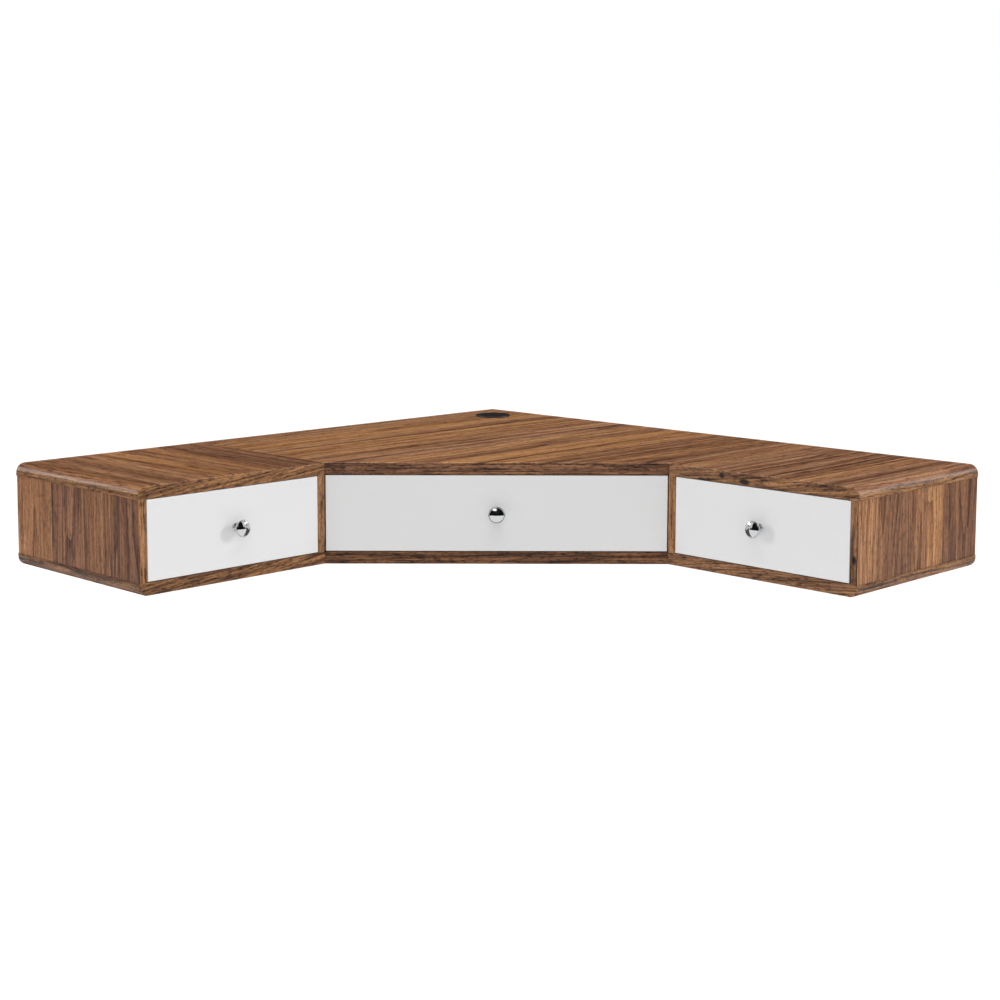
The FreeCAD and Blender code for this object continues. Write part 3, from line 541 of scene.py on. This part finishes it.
def dress_partitions():
    """The two partitions beside the centre drawer."""
    strip = edge_strip(OPENS["centre"], "z")
    partition = walnut("walnut_partitions", "cross", PARTITION_SEED, (strip,))
    for side in SIDES:
        dress(f"centre_{side}_partition", partition)


def dress_carcass():
    """Walnut on every board of the carcass, each with its own stretch of grain and its own edge strips."""
    dress_centre_boards()
    for side in SIDES:
        dress_wing_boards(side)
        dress_uprights(side)
        dress_backs(side)
    dress_partitions()


def dress_drawers():
    """White fronts, melamine boxes and coated runners."""
    for drawer in DRAWERS:
        dress(f"{drawer}_drawer_front", white_front)
        dress(f"{drawer}_drawer_back", drawer_board)
        dress(f"{drawer}_drawer_bottom", drawer_panel)
        dress(f"{drawer}_drawer_knob", chrome)
        for side in SIDES:
            dress(f"{drawer}_drawer_{side}_side", drawer_board)
            dress(f"{drawer}_drawer_{side}_cabinet_rail", runner_steel)
            dress(f"{drawer}_drawer_{side}_drawer_rail", runner_steel)
        for end in ("front", "rear"):
            dress(f"{drawer}_drawer_{end}_rollers", nylon)


def dress_hardware():
    """Grommet and fasteners."""
    dress("cable_grommet_sleeve", black_plastic)
    dress("cable_grommet_cap", black_plastic)
    dress("cam_locks", zinc)
    for node in ("cam_bolts", "bottom_screws", "connector_bolts"):
        dress(node, fastener_steel)


# Turned and moulded pieces

CREASE = math.radians(30)
LATHE_STEPS = 96
ON_AXIS = 1e-6
EASE_STEPS = 3


def add_piece(name, shape, material, body):
    """A finished piece of the desk from a bmesh."""
    bmesh.ops.recalc_face_normals(shape, faces=shape.faces[:])
    mesh = bpy.data.meshes.new(name)
    shape.to_mesh(mesh)
    shape.free()
    return add_mesh(name, mesh, material, body)


def add_mesh(name, mesh, material, body):
    """A finished piece of the desk from a mesh: smooth except at creases, riding on a body."""
    mesh.materials.clear()
    mesh.materials.append(material)
    mesh.shade_smooth()
    mesh.set_sharp_from_angle(angle=CREASE)
    piece = bpy.data.objects.new(name, mesh)
    scene.collection.objects.link(piece)
    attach(piece, body)
    return piece


def arc(across, height, wide, tall, start, end, steps=8):
    """Points of a profile on a quarter round or other arc, between two angles in degrees."""
    angles = [math.radians(start + (end - start) * i / steps) for i in range(steps + 1)]
    return [(across + wide * math.cos(a), height + tall * math.sin(a)) for a in angles]


def turned(profile, place, closed=False):
    """A lathe shape from a profile of radii and heights in millimetres, its axis along the place's Z."""
    shape = bmesh.new()
    rings = []
    for radius, height in profile:
        count = 1 if radius < ON_AXIS else LATHE_STEPS
        ring = []
        for i in range(count):
            angle = 2 * math.pi * i / LATHE_STEPS
            spot = Vector((radius * math.cos(angle), radius * math.sin(angle), height)) * MM
            ring.append(shape.verts.new(place @ spot))
        rings.append(ring)
    if closed:
        rings.append(rings[0])
    for lower, upper in zip(rings, rings[1:]):
        for i in range(LATHE_STEPS):
            j = i + 1
            corners = [lower[i % len(lower)], lower[j % len(lower)]]
            corners += [upper[j % len(upper)], upper[i % len(upper)]]
            shape.faces.new(tuple(dict.fromkeys(corners)))
    return shape


KNOB_HEIGHT = 76.0
KNOB_REACH = 20.0
KNOB_STUD_RADIUS = 2.0
KNOB_FOOT_RADIUS = 6.8
KNOB_DOME_RADIUS = 24.07
KNOB_DOME_EDGE = 10.4
KNOB_COVE_STEPS = 5
KNOB_DOME_STEPS = 16
# Round stretches of a knob's half section: middle across and up, width and height, and the two end angles
KNOB_FOOT_ROUND = (4.8, 1.1, 2.2, 1.1, 0.0, 90.0)
KNOB_NECK_COVE = (5.0, 3.0, 0.8, 0.8, 270.0, 180.0)
KNOB_RIM_UNDER = (11.0, 15.0, 1.5, 1.5, 290.0, 360.0)
KNOB_RIM_OVER = (11.6, 16.1, 0.9, 0.9, 0.0, 106.0)
# Straight stretches of the half section, as radii and heights
KNOB_CUP = ((4.2, 9.4), (4.35, 10.0), (4.75, 10.45), (10.3, 13.2))
KNOB_RIM_STEP = ((10.7, 16.75), (10.5, 16.85))


def knob_profile():
    """Half section of a knob from its stud to its dome, heights from the front's face."""
    dome_edge = math.degrees(math.asin(KNOB_DOME_EDGE / KNOB_DOME_RADIUS))
    dome = (0.0, KNOB_REACH - KNOB_DOME_RADIUS, KNOB_DOME_RADIUS, KNOB_DOME_RADIUS)
    profile = [(0.0, -FRONT_THK), (KNOB_STUD_RADIUS, -FRONT_THK)]
    profile += [(KNOB_STUD_RADIUS, 0.0), (KNOB_FOOT_RADIUS, 0.0)]
    profile += arc(*KNOB_FOOT_ROUND)
    profile += arc(*KNOB_NECK_COVE, KNOB_COVE_STEPS)
    profile += KNOB_CUP
    profile += arc(*KNOB_RIM_UNDER)
    profile += arc(*KNOB_RIM_OVER)
    profile += KNOB_RIM_STEP
    profile += arc(*dome, 90.0 - dome_edge, 90.0, KNOB_DOME_STEPS)
    profile[-1] = (0.0, KNOB_REACH)
    return profile


def turn_knobs():
    """Chrome knobs, smoothly turned, in place of the carried-over ones."""
    outwards = Matrix.Rotation(math.pi / 2, 4, "X")
    for drawer in DRAWERS:
        place = drawer_frame(drawer) @ Matrix.Translation((0, 0, KNOB_HEIGHT * MM)) @ outwards
        shape = turned(knob_profile(), place)
        knob = add_piece(f"{drawer}_knob_turned", shape, chrome, f"{drawer}_drawer")
        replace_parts(knob, f"{drawer}_drawer_knob")


GROMMET_INSET = 78.5
GROMMET_PLACE = Matrix.Translation(Vector((GROMMET_INSET, -GROMMET_INSET, DESK_HEIGHT)) * MM)
SLEEVE_BORE_RADIUS = 22.8
SLEEVE_RADIUS = 24.8
SLEEVE_DROP = 20.0
SLEEVE_CHAMFER = 0.4
FLANGE_RADIUS = 30.0
FLANGE_HEIGHT = 3.0
FLANGE_EASE = 0.2
FLANGE_ROUND = 1.4
SEAT_RADIUS = 26.5
SEAT_HEIGHT = 1.4
SEAT_EASE = 0.3
CAP_RADIUS = 26.2
CAP_EASE = 0.5
CAP_STEPS = 88
NOTCH_RADIUS = 9.0
NOTCH_REACH = 19.2
NOTCH_STEPS = 28
SKIRT_RADIUS = 22.5
SKIRT_BORE_RADIUS = 20.9
SKIRT_DROP = 4.6
SKIRT_STEPS = 72
# Angle in degrees that the skirt stops short of the notch on either side
SKIRT_SPARE_ANGLE = 1.0


def mould_sleeve():
    """Flanged grommet sleeve with a rounded rim."""
    rim_middle = (FLANGE_RADIUS - FLANGE_ROUND, FLANGE_HEIGHT - FLANGE_ROUND)
    profile = [
        (SLEEVE_BORE_RADIUS, -SLEEVE_DROP),
        (SLEEVE_RADIUS - SLEEVE_CHAMFER, -SLEEVE_DROP),
        (SLEEVE_RADIUS, SLEEVE_CHAMFER - SLEEVE_DROP),
        (SLEEVE_RADIUS, 0.0),
        (FLANGE_RADIUS - FLANGE_EASE, 0.0),
        (FLANGE_RADIUS, FLANGE_EASE),
        *arc(*rim_middle, FLANGE_ROUND, FLANGE_ROUND, 0.0, 90.0),
        (SEAT_RADIUS + SEAT_EASE, FLANGE_HEIGHT),
        (SEAT_RADIUS, FLANGE_HEIGHT - SEAT_EASE),
        (SEAT_RADIUS, SEAT_HEIGHT),
        (SLEEVE_BORE_RADIUS, SEAT_HEIGHT),
    ]
    shape = turned(profile, GROMMET_PLACE, closed=True)
    sleeve = add_piece("grommet_sleeve_moulded", shape, black_plastic, "carcass")
    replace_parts(sleeve, "cable_grommet_sleeve")


def raised(shape, outline, low, high, ease=0.0):
    """Add a slab with this outline to a shape, its upper edge eased."""
    lower = [shape.verts.new((x * MM, y * MM, low * MM)) for x, y in outline]
    upper = [shape.verts.new((x * MM, y * MM, high * MM)) for x, y in outline]
    shape.faces.new(lower)
    shape.faces.new(upper)
    for i in range(len(outline)):
        j = (i + 1) % len(outline)
        shape.faces.new((lower[i], lower[j], upper[j], upper[i]))
    if ease:
        rim = [e for e in shape.edges if e.verts[0] in upper and e.verts[1] in upper]
        offset = ease * MM
        bmesh.ops.bevel(shape, geom=rim, offset=offset, segments=EASE_STEPS, profile=0.5, affect="EDGES")


def most_of_a_round(radius, opening, steps):
    """A circle but for an opening at its left, given as half its angle in degrees."""
    return arc(0.0, 0.0, radius, radius, -180.0 + opening, 180.0 - opening, steps)


def mould_cap():
    """Grommet cap with a rounded cable notch and the skirt that turns in the sleeve."""
    mouth = math.degrees(math.asin(NOTCH_RADIUS / CAP_RADIUS))
    notch = arc(-NOTCH_REACH, 0.0, NOTCH_RADIUS, NOTCH_RADIUS, 90.0, -90.0, NOTCH_STEPS)
    shape = bmesh.new()
    disc = most_of_a_round(CAP_RADIUS, mouth, CAP_STEPS) + notch
    raised(shape, disc, SEAT_HEIGHT, FLANGE_HEIGHT, CAP_EASE)
    gap = math.degrees(math.asin(NOTCH_RADIUS / SKIRT_RADIUS)) + SKIRT_SPARE_ANGLE
    skirt = most_of_a_round(SKIRT_RADIUS, gap, SKIRT_STEPS)
    skirt += reversed(most_of_a_round(SKIRT_BORE_RADIUS, gap, SKIRT_STEPS))
    raised(shape, skirt, -SKIRT_DROP, SEAT_HEIGHT)
    shape.transform(GROMMET_PLACE)
    cap = add_piece("grommet_cap_moulded", shape, black_plastic, "grommet_cap")
    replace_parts(cap, "cable_grommet_cap")


# Screws and cam locks, repeated over marked points

SCREW_INPUTS = (
    ("Face Radius", "NodeSocketFloat"),
    ("Seat Radius", "NodeSocketFloat"),
    ("Head Height", "NodeSocketFloat"),
    ("Shank Radius", "NodeSocketFloat"),
    ("Shank Length", "NodeSocketFloat"),
    ("Slot Length", "NodeSocketFloat"),
    ("Slot Width", "NodeSocketFloat"),
    ("Slot Depth", "NodeSocketFloat"),
    ("Finish", "NodeSocketMaterial"),
)
HEAD_SIDES = 40
SHANK_SIDES = 24


def slotted_head(tree, given, drop):
    """A screw's head in a node tree, sunk by its height, with a cross cut into its face."""
    sizes = {
        "Vertices": HEAD_SIDES,
        "Radius Top": given["Face Radius"],
        "Radius Bottom": given["Seat Radius"],
        "Depth": given["Head Height"],
    }
    head = add(tree, "GeometryNodeMeshCone", sizes).outputs["Mesh"]
    head = add(tree, "GeometryNodeTransform", {"Geometry": head, "Translation": drop}).outputs[0]
    depth = math_node(tree, "MULTIPLY", given["Slot Depth"], 2.0)
    for x, y in (("Slot Length", "Slot Width"), ("Slot Width", "Slot Length")):
        size = add(tree, "ShaderNodeCombineXYZ", {0: given[x], 1: given[y], 2: depth}).outputs[0]
        cut = add(tree, "GeometryNodeMeshCube", {"Size": size}).outputs["Mesh"]
        slotted = add(tree, "GeometryNodeMeshBoolean", {"Mesh 1": head}, operation="DIFFERENCE")
        tree.links.new(cut, slotted.inputs["Mesh 2"])
        head = slotted.outputs["Mesh"]
    return head


def screw_tree():
    """Node tree that sets a cross-slotted head and its shank at each point, turned as the point faces."""
    tree = bpy.data.node_groups.new("screws_on_points", "GeometryNodeTree")
    tree.interface.new_socket("Points", in_out="INPUT", socket_type="NodeSocketGeometry")
    for name, kind in SCREW_INPUTS:
        tree.interface.new_socket(name, in_out="INPUT", socket_type=kind)
    tree.interface.new_socket("Screws", in_out="OUTPUT", socket_type="NodeSocketGeometry")
    given = add(tree, "NodeGroupInput").outputs
    sunk = math_node(tree, "MULTIPLY", given["Head Height"], -1.0)
    head = slotted_head(tree, given, add(tree, "ShaderNodeCombineXYZ", {2: sunk}).outputs[0])
    sizes = {"Vertices": SHANK_SIDES, "Radius": given["Shank Radius"], "Depth": given["Shank Length"]}
    shank = add(tree, "GeometryNodeMeshCylinder", sizes).outputs["Mesh"]
    low = math_node(tree, "MULTIPLY_ADD", given["Shank Length"], -0.5, sunk)
    drop = add(tree, "ShaderNodeCombineXYZ", {2: low}).outputs[0]
    shank = add(tree, "GeometryNodeTransform", {"Geometry": shank, "Translation": drop}).outputs[0]
    whole = add(tree, "GeometryNodeJoinGeometry")
    tree.links.new(head, whole.inputs[0])
    tree.links.new(shank, whole.inputs[0])
    way = add(tree, "GeometryNodeInputNamedAttribute", {"Name": "facing"}, data_type="FLOAT_VECTOR")
    turn = add(tree, "FunctionNodeAlignRotationToVector", {"Vector": way.outputs["Attribute"]}, axis="Z")
    inputs = {"Points": given["Points"], "Instance": whole.outputs[0], "Rotation": turn.outputs[0]}
    spread_out = add(tree, "GeometryNodeInstanceOnPoints", inputs).outputs[0]
    solid = add(tree, "GeometryNodeRealizeInstances", {0: spread_out}).outputs[0]
    inputs = {"Geometry": solid, "Material": given["Finish"]}
    add(tree, "NodeGroupOutput", {0: add(tree, "GeometryNodeSetMaterial", inputs).outputs[0]})
    return tree


SCREWS_ON_POINTS = screw_tree()
# Sizes of a screw, in the order of the tree's inputs
ScrewSizes = namedtuple("ScrewSizes", (
    "face_radius", "seat_radius", "head_height", "shank_radius",
    "shank_length", "slot_length", "slot_width", "slot_depth",
))
PAN_SCREW = ScrewSizes(3.4, 4.5, 2.2, 2.0, 4.0, 4.6, 1.0, 1.3)
BOX_SCREW = ScrewSizes(3.6, 1.8, 2.2, 1.8, 24.0, 4.2, 0.9, 1.2)
RAIL_SCREW = ScrewSizes(3.1, 2.9, 0.4, 1.6, 11.0, 3.4, 0.8, 0.3)
FLUSH_RAIL_SCREW = ScrewSizes(3.1, 3.0, 0.15, 1.6, 10.0, 3.4, 0.8, 0.12)
BOTTOM_SCREW = ScrewSizes(5.0, 2.5, 3.0, 2.5, 45.0, 5.6, 1.3, 2.0)
CAM_LOCK = ScrewSizes(5.8, 6.0, 9.0, 3.0, 0.4, 7.6, 1.7, 2.6)
CONNECTOR = ScrewSizes(6.2, 6.5, 1.8, 3.0, 12.0, 6.0, 1.3, 1.3)


def set_screws(name, spots, sizes, material, body):
    """One piece of equal screws: each spot is a place and the way its head faces."""
    mesh = bpy.data.meshes.new(name)
    mesh.from_pydata([tuple(place) for place, _ in spots], [], [])
    ways = mesh.attributes.new("facing", "FLOAT_VECTOR", "POINT")
    for i, (_, way) in enumerate(spots):
        ways.data[i].vector = way
    points = bpy.data.objects.new(name, mesh)
    scene.collection.objects.link(points)
    modifier = points.modifiers.new("screws", "NODES")
    modifier.node_group = SCREWS_ON_POINTS
    sockets = {item.name: item.identifier for item in SCREWS_ON_POINTS.interface.items_tree}
    for (socket, _), size in zip(SCREW_INPUTS, sizes):
        modifier[sockets[socket]] = size * MM
    modifier[sockets["Finish"]] = material
    graph = bpy.context.evaluated_depsgraph_get()
    solid = bpy.data.meshes.new_from_object(points.evaluated_get(graph))
    bpy.data.objects.remove(points)
    return add_mesh(name, solid, material, body)


def set_steel_screws(name, spots, sizes, body):
    """Screws of plain steel."""
    return set_screws(name, spots, sizes, fastener_steel, body)


def in_drawer(drawer, x, y, z, way):
    """A screw's spot from its place in the drawer's frame and the way it faces there."""
    place = drawer_frame(drawer)
    return place @ (Vector((x, y, z)) * MM), place.to_3x3() @ Vector(way)


AXLE_HEIGHT = 42.8
RAIL_START = 17.0
# How far from the box's side the heads of the box, drawer rail and cabinet rail screws stand
BOX_SCREW_REACH = 0.2
RAIL_SCREW_REACH = 1.6
CABINET_SCREW_REACH = 11.15
BOX_SCREW_HEIGHTS = (70.0, 98.0)
BOX_SCREW_INSET = 6.0
RAIL_SCREW_INSET = 34.0
CABINET_SCREW_STEP = 9.0


def screw_drawers():
    """Screws of the knobs, drawer boxes and runners."""
    web_spots = []
    for drawer in DRAWERS:
        half = BOX_HALF[drawer]
        rear = FRONT_THK + BOX_DEPTH[drawer]
        body = f"{drawer}_drawer"
        knob_spot = in_drawer(drawer, 0, FRONT_THK + PAN_SCREW.head_height, KNOB_HEIGHT, (0, 1, 0))
        set_steel_screws(f"{drawer}_knob_screw", [knob_spot], PAN_SCREW, body)
        box_spots, rail_spots = [], []
        stops = (RAIL_START + RAIL_SCREW_INSET, (RAIL_START + rear) / 2, rear - RAIL_SCREW_INSET)
        for way in (-1, 1):
            box_x = way * (half + BOX_SCREW_REACH)
            rail_x = way * (half + RAIL_SCREW_REACH)
            web_x = way * (half + CABINET_SCREW_REACH)
            for height in BOX_SCREW_HEIGHTS:
                box_spots.append(in_drawer(drawer, box_x, rear - BOX_SCREW_INSET, height, (way, 0, 0)))
            for y in stops:
                rail_spots.append(in_drawer(drawer, rail_x, y, AXLE_HEIGHT, (way, 0, 0)))
                web_y = y + CABINET_SCREW_STEP
                web_spots.append(in_drawer(drawer, web_x, web_y, AXLE_HEIGHT, (-way, 0, 0)))
        set_steel_screws(f"{drawer}_box_screws", box_spots, BOX_SCREW, body)
        set_steel_screws(f"{drawer}_rail_screws", rail_spots, RAIL_SCREW, body)
    set_steel_screws("cabinet_rail_screws", web_spots, FLUSH_RAIL_SCREW, "carcass")


# Where wings, module sides and partitions start and end in depth, and the shares of it with fasteners
WING_RUN = (0.0, 311.0)
MODULE_SIDE_RUN = (12.0, 295.0)
PARTITION_RUN = (16.5, 428.5)
FASTENER_SHARES = (0.22, 0.78)
CONNECTOR_DEPTHS = (96.9, 210.1)
TOP_CAM_HEIGHT = 90.0
LOW_CAM_HEIGHT = 62.0
CONNECTOR_HEIGHT = 104.0
# Places along the right wall, and across the centre drawer, of the faces and middles of the panels
OUTER_FACE = 987.0
INNER_FACE = 683.0
INNER_MIDDLE = 677.0
MODULE_FACE = 659.0
MODULE_MIDDLE = 665.0
PARTITION_FACE = 151.5
PARTITION_MIDDLE = 145.5


def part_way(run, share):
    """The place at a share of a run."""
    start, end = run
    return start + share * (end - start)


def on_both_wings(spots):
    """Spots in millimetres on the right wing, and their mirror images on the left one."""
    both = []
    for (x, y, z), (way_x, way_y, way_z) in spots:
        both.append((Vector((x, y, z)) * MM, Vector((way_x, way_y, way_z))))
        both.append((Vector((-y, -x, z)) * MM, Vector((-way_y, -way_x, way_z))))
    return both


def lock_panels():
    """Cam locks of the panels under the top boards, and of the outer sides over the bottom boards."""
    cams, partition_cams = [], []
    for share in FASTENER_SHARES:
        wing = -part_way(WING_RUN, share)
        module = -part_way(MODULE_SIDE_RUN, share)
        deep = part_way(PARTITION_RUN, share)
        for height in (TOP_CAM_HEIGHT, LOW_CAM_HEIGHT):
            cams.append(((OUTER_FACE, wing, height), (-1, 0, 0)))
        cams.append(((INNER_FACE, wing, TOP_CAM_HEIGHT), (1, 0, 0)))
        cams.append(((MODULE_FACE, module, TOP_CAM_HEIGHT), (-1, 0, 0)))
        for way in (-1, 1):
            spot = in_drawer("centre", way * PARTITION_FACE, deep, TOP_CAM_HEIGHT, (way, 0, 0))
            partition_cams.append(spot)
    spots = on_both_wings(cams) + partition_cams
    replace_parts(set_screws("cam_lock_faces", spots, CAM_LOCK, zinc, "carcass"), "cam_locks")


def screw_bottoms():
    """Screws through the bottom boards into the inner sides, module sides and partitions."""
    screws, partition_screws = [], []
    for share in FASTENER_SHARES:
        screws.append(((INNER_MIDDLE, -part_way(WING_RUN, share), 0), (0, 0, -1)))
        screws.append(((MODULE_MIDDLE, -part_way(MODULE_SIDE_RUN, share), 0), (0, 0, -1)))
        for way in (-1, 1):
            deep = part_way(PARTITION_RUN, share)
            partition_screws.append(in_drawer("centre", way * PARTITION_MIDDLE, deep, 0, (0, 0, -1)))
    spots = on_both_wings(screws) + partition_screws
    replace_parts(set_steel_screws("bottom_screw_heads", spots, BOTTOM_SCREW, "carcass"), "bottom_screws")


def bolt_wings():
    """Connector bolts between the wings and the corner module."""
    connectors = []
    for depth in CONNECTOR_DEPTHS:
        wing_face = INNER_FACE + CONNECTOR.head_height
        module_face = MODULE_FACE - CONNECTOR.head_height
        connectors.append(((wing_face, -depth, CONNECTOR_HEIGHT), (1, 0, 0)))
        connectors.append(((module_face, -depth, CONNECTOR_HEIGHT), (-1, 0, 0)))
    spots = on_both_wings(connectors)
    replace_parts(set_steel_screws("connector_bolt_heads", spots, CONNECTOR, "carcass"), "connector_bolts")


# Camera and stage

CAMERA_PLACE = (2.34203, -2.38552, 0.53723)
CAMERA_TURN = math.radians(45.1897)
CAMERA_TILT = math.radians(6.2926)
CAMERA_ROLL = 0.0012
CAMERA_LENS = 65.223
CAMERA_SHIFT = (0.03, -0.10)
FLOOR_DROP = 1.25
FLOOR_SIZE = 60.0
# Light that the floor gives back to the desk, where the camera sees it white
FLOOR_BOUNCE = (0.82, 0.82, 0.82, 1.0)
AMBIENT = 0.45
# Lamps: the way towards each one, the light it gives on a face turned to it, and its width in degrees
LAMPS = {
    "lamp_for_left": ((1.0, 0.95, 0.5), 0.28, 14.0),
    "lamp_for_right": ((-0.95, -1.0, 0.5), 0.185, 14.0),
    "lamp_in_front": ((1.0, -1.0, 0.7), 0.15, 40.0),
    "lamp_overhead": ((0.12, -0.12, 1.0), 0.42, 50.0),
}
DESK_MIDDLE = Vector((0.49, -0.49, 0.08))
SURROUND_RADIUS = 6.0
SURROUND_FOOT = -1.08
SURROUND_STEPS = 96
SURROUND_TONE = tone(24, 24, 26)
WALL_RUN = 1.0
# Grey of the walls below the desk: painted shade, for the shade under the desk
WALL_SHADE_TONE = tone(96, 96, 98)
# Bright panels and dimmer cards that only polished surfaces see: the way towards each one, its width and
# height, and its glow
PANELS = {
    "studio_window": ((0.416, -0.75, 0.515), 1.8, 1.0, 1.6),
    "studio_panel_left": ((-0.83, -0.44, 0.31), 2.0, 0.7, 5.8),
    "studio_panel_right": ((0.44, 0.83, 0.31), 2.0, 0.7, 4.0),
    "studio_card_left": ((-0.52, -0.77, 0.375), 1.6, 3.0, 0.7),
    "studio_card_right": ((0.77, 0.52, 0.375), 1.6, 3.0, 0.7),
}
PANEL_DISTANCE = 4.0


def place_camera():
    """A camera in front of the corner, looking a little down, and slightly shifted to frame the desk."""
    data = bpy.data.cameras.new("camera")
    data.lens = CAMERA_LENS
    data.shift_x, data.shift_y = CAMERA_SHIFT
    camera = bpy.data.objects.new("camera", data)
    turn = Matrix.Rotation(CAMERA_TURN, 4, "Z") @ Matrix.Rotation(math.pi / 2 - CAMERA_TILT, 4, "X")
    camera.matrix_world = Matrix.Translation(CAMERA_PLACE) @ turn @ Matrix.Rotation(CAMERA_ROLL, 4, "Z")
    scene.collection.objects.link(camera)
    scene.camera = camera


def hang_lamps():
    """Two wide lamps that cross over the fronts, one in front and one overhead."""
    for name, (towards, light, width) in LAMPS.items():
        data = bpy.data.lights.new(name, "SUN")
        data.energy = math.pi * light
        data.angle = math.radians(width)
        lamp = bpy.data.objects.new(name, data)
        lamp.rotation_euler = (-Vector(towards)).to_track_quat("-Z", "Y").to_euler()
        scene.collection.objects.link(lamp)


def make_dull(shader):
    """Take all gloss from a surface."""
    shader.inputs["Roughness"].default_value = 1.0
    shader.inputs["Specular IOR Level"].default_value = 0.0


def floor_finish():
    """White floor that keeps the desk's shadow, and gives back a little less light than it shows."""
    material, tree, shader = new_finish("floor")
    seen = add(tree, "ShaderNodeLightPath").outputs["Is Camera Ray"]
    tree.links.new(mix_colour(tree, seen, FLOOR_BOUNCE, WHITE), shader.inputs["Base Color"])
    make_dull(shader)
    return material


def lay_floor():
    """A wide white floor, well below the desk."""
    bpy.ops.mesh.primitive_plane_add(size=FLOOR_SIZE, location=(0, 0, -FLOOR_DROP))
    floor = bpy.context.object
    floor.name = "floor"
    floor.data.materials.append(floor_finish())


def only_in_reflections(thing):
    """A stage piece that only polished surfaces see."""
    thing.visible_camera = False
    thing.visible_diffuse = False
    thing.visible_shadow = False
    thing.visible_transmission = False


def hang_dull(mesh, colour):
    """A dull painted piece of the studio, seen only in reflections."""
    material, _, shader = new_finish(mesh.name)
    shader.inputs["Base Color"].default_value = colour
    make_dull(shader)
    mesh.materials.append(material)
    thing = bpy.data.objects.new(mesh.name, mesh)
    scene.collection.objects.link(thing)
    only_in_reflections(thing)


def hang_surround():
    """A dark studio dome, open at its foot."""
    shape = bmesh.new()
    steps = {"u_segments": SURROUND_STEPS, "v_segments": SURROUND_STEPS}
    bmesh.ops.create_uvsphere(shape, radius=SURROUND_RADIUS, **steps)
    below = [v for v in shape.verts if v.co.z < SURROUND_FOOT]
    bmesh.ops.delete(shape, geom=below, context="VERTS")
    mesh = bpy.data.meshes.new("studio_surround")
    shape.to_mesh(mesh)
    shape.free()
    hang_dull(mesh, SURROUND_TONE)


def hang_shaded_walls():
    """The walls below the desk, from one wing's end by way of the room corner to the other's, grey as
    painted shade: the shade under the desk that the knobs mirror.
    """
    corners = []
    for height in (-FLOOR_DROP, 0.0):
        corners += [(0.0, -WALL_RUN, height), (0.0, 0.0, height), (WALL_RUN, 0.0, height)]
    mesh = bpy.data.meshes.new("walls_below_painted_shade")
    mesh.from_pydata(corners, [], [(0, 1, 4, 3), (1, 2, 5, 4)])
    hang_dull(mesh, WALL_SHADE_TONE)


def hang_panels():
    """The bright panels and dimmer cards that the knobs and the rounded edges mirror."""
    for name, (towards, width, height, glow) in PANELS.items():
        bpy.ops.mesh.primitive_plane_add(size=1.0)
        panel = bpy.context.object
        panel.name = name
        way = Vector(towards).normalized()
        turn = (-way).to_track_quat("Z", "Y").to_matrix().to_4x4()
        size = Matrix.Diagonal((width, height, 1.0, 1.0))
        panel.matrix_world = Matrix.Translation(DESK_MIDDLE + way * PANEL_DISTANCE) @ turn @ size
        material, tree, _ = new_finish(name)
        light = add(tree, "ShaderNodeEmission", {"Strength": glow})
        tree.links.new(light.outputs[0], tree.nodes["Material Output"].inputs["Surface"])
        panel.data.materials.append(material)
        only_in_reflections(panel)


def light_world():
    """White behind the desk and in reflections, and an even ambient light on the desk."""
    world = bpy.data.worlds.new("studio")
    scene.world = world
    world.use_nodes = True
    tree = world.node_tree
    path = add(tree, "ShaderNodeLightPath")
    shown = math_node(tree, "MAXIMUM", path.outputs["Is Camera Ray"], path.outputs["Is Glossy Ray"])
    shown = math_node(tree, "MAXIMUM", shown, path.outputs["Is Transmission Ray"])
    background = tree.nodes["Background"]
    background.inputs["Color"].default_value = WHITE
    tree.links.new(spread(tree, shown, 0.0, 1.0, AMBIENT, 1.0), background.inputs["Strength"])


place_camera()
light_world()
hang_lamps()
lay_floor()
hang_surround()
hang_shaded_walls()
hang_panels()
dress_carcass()
dress_drawers()
dress_hardware()
turn_knobs()
mould_sleeve()
mould_cap()
screw_drawers()
lock_panels()
screw_bottoms()
bolt_wings()
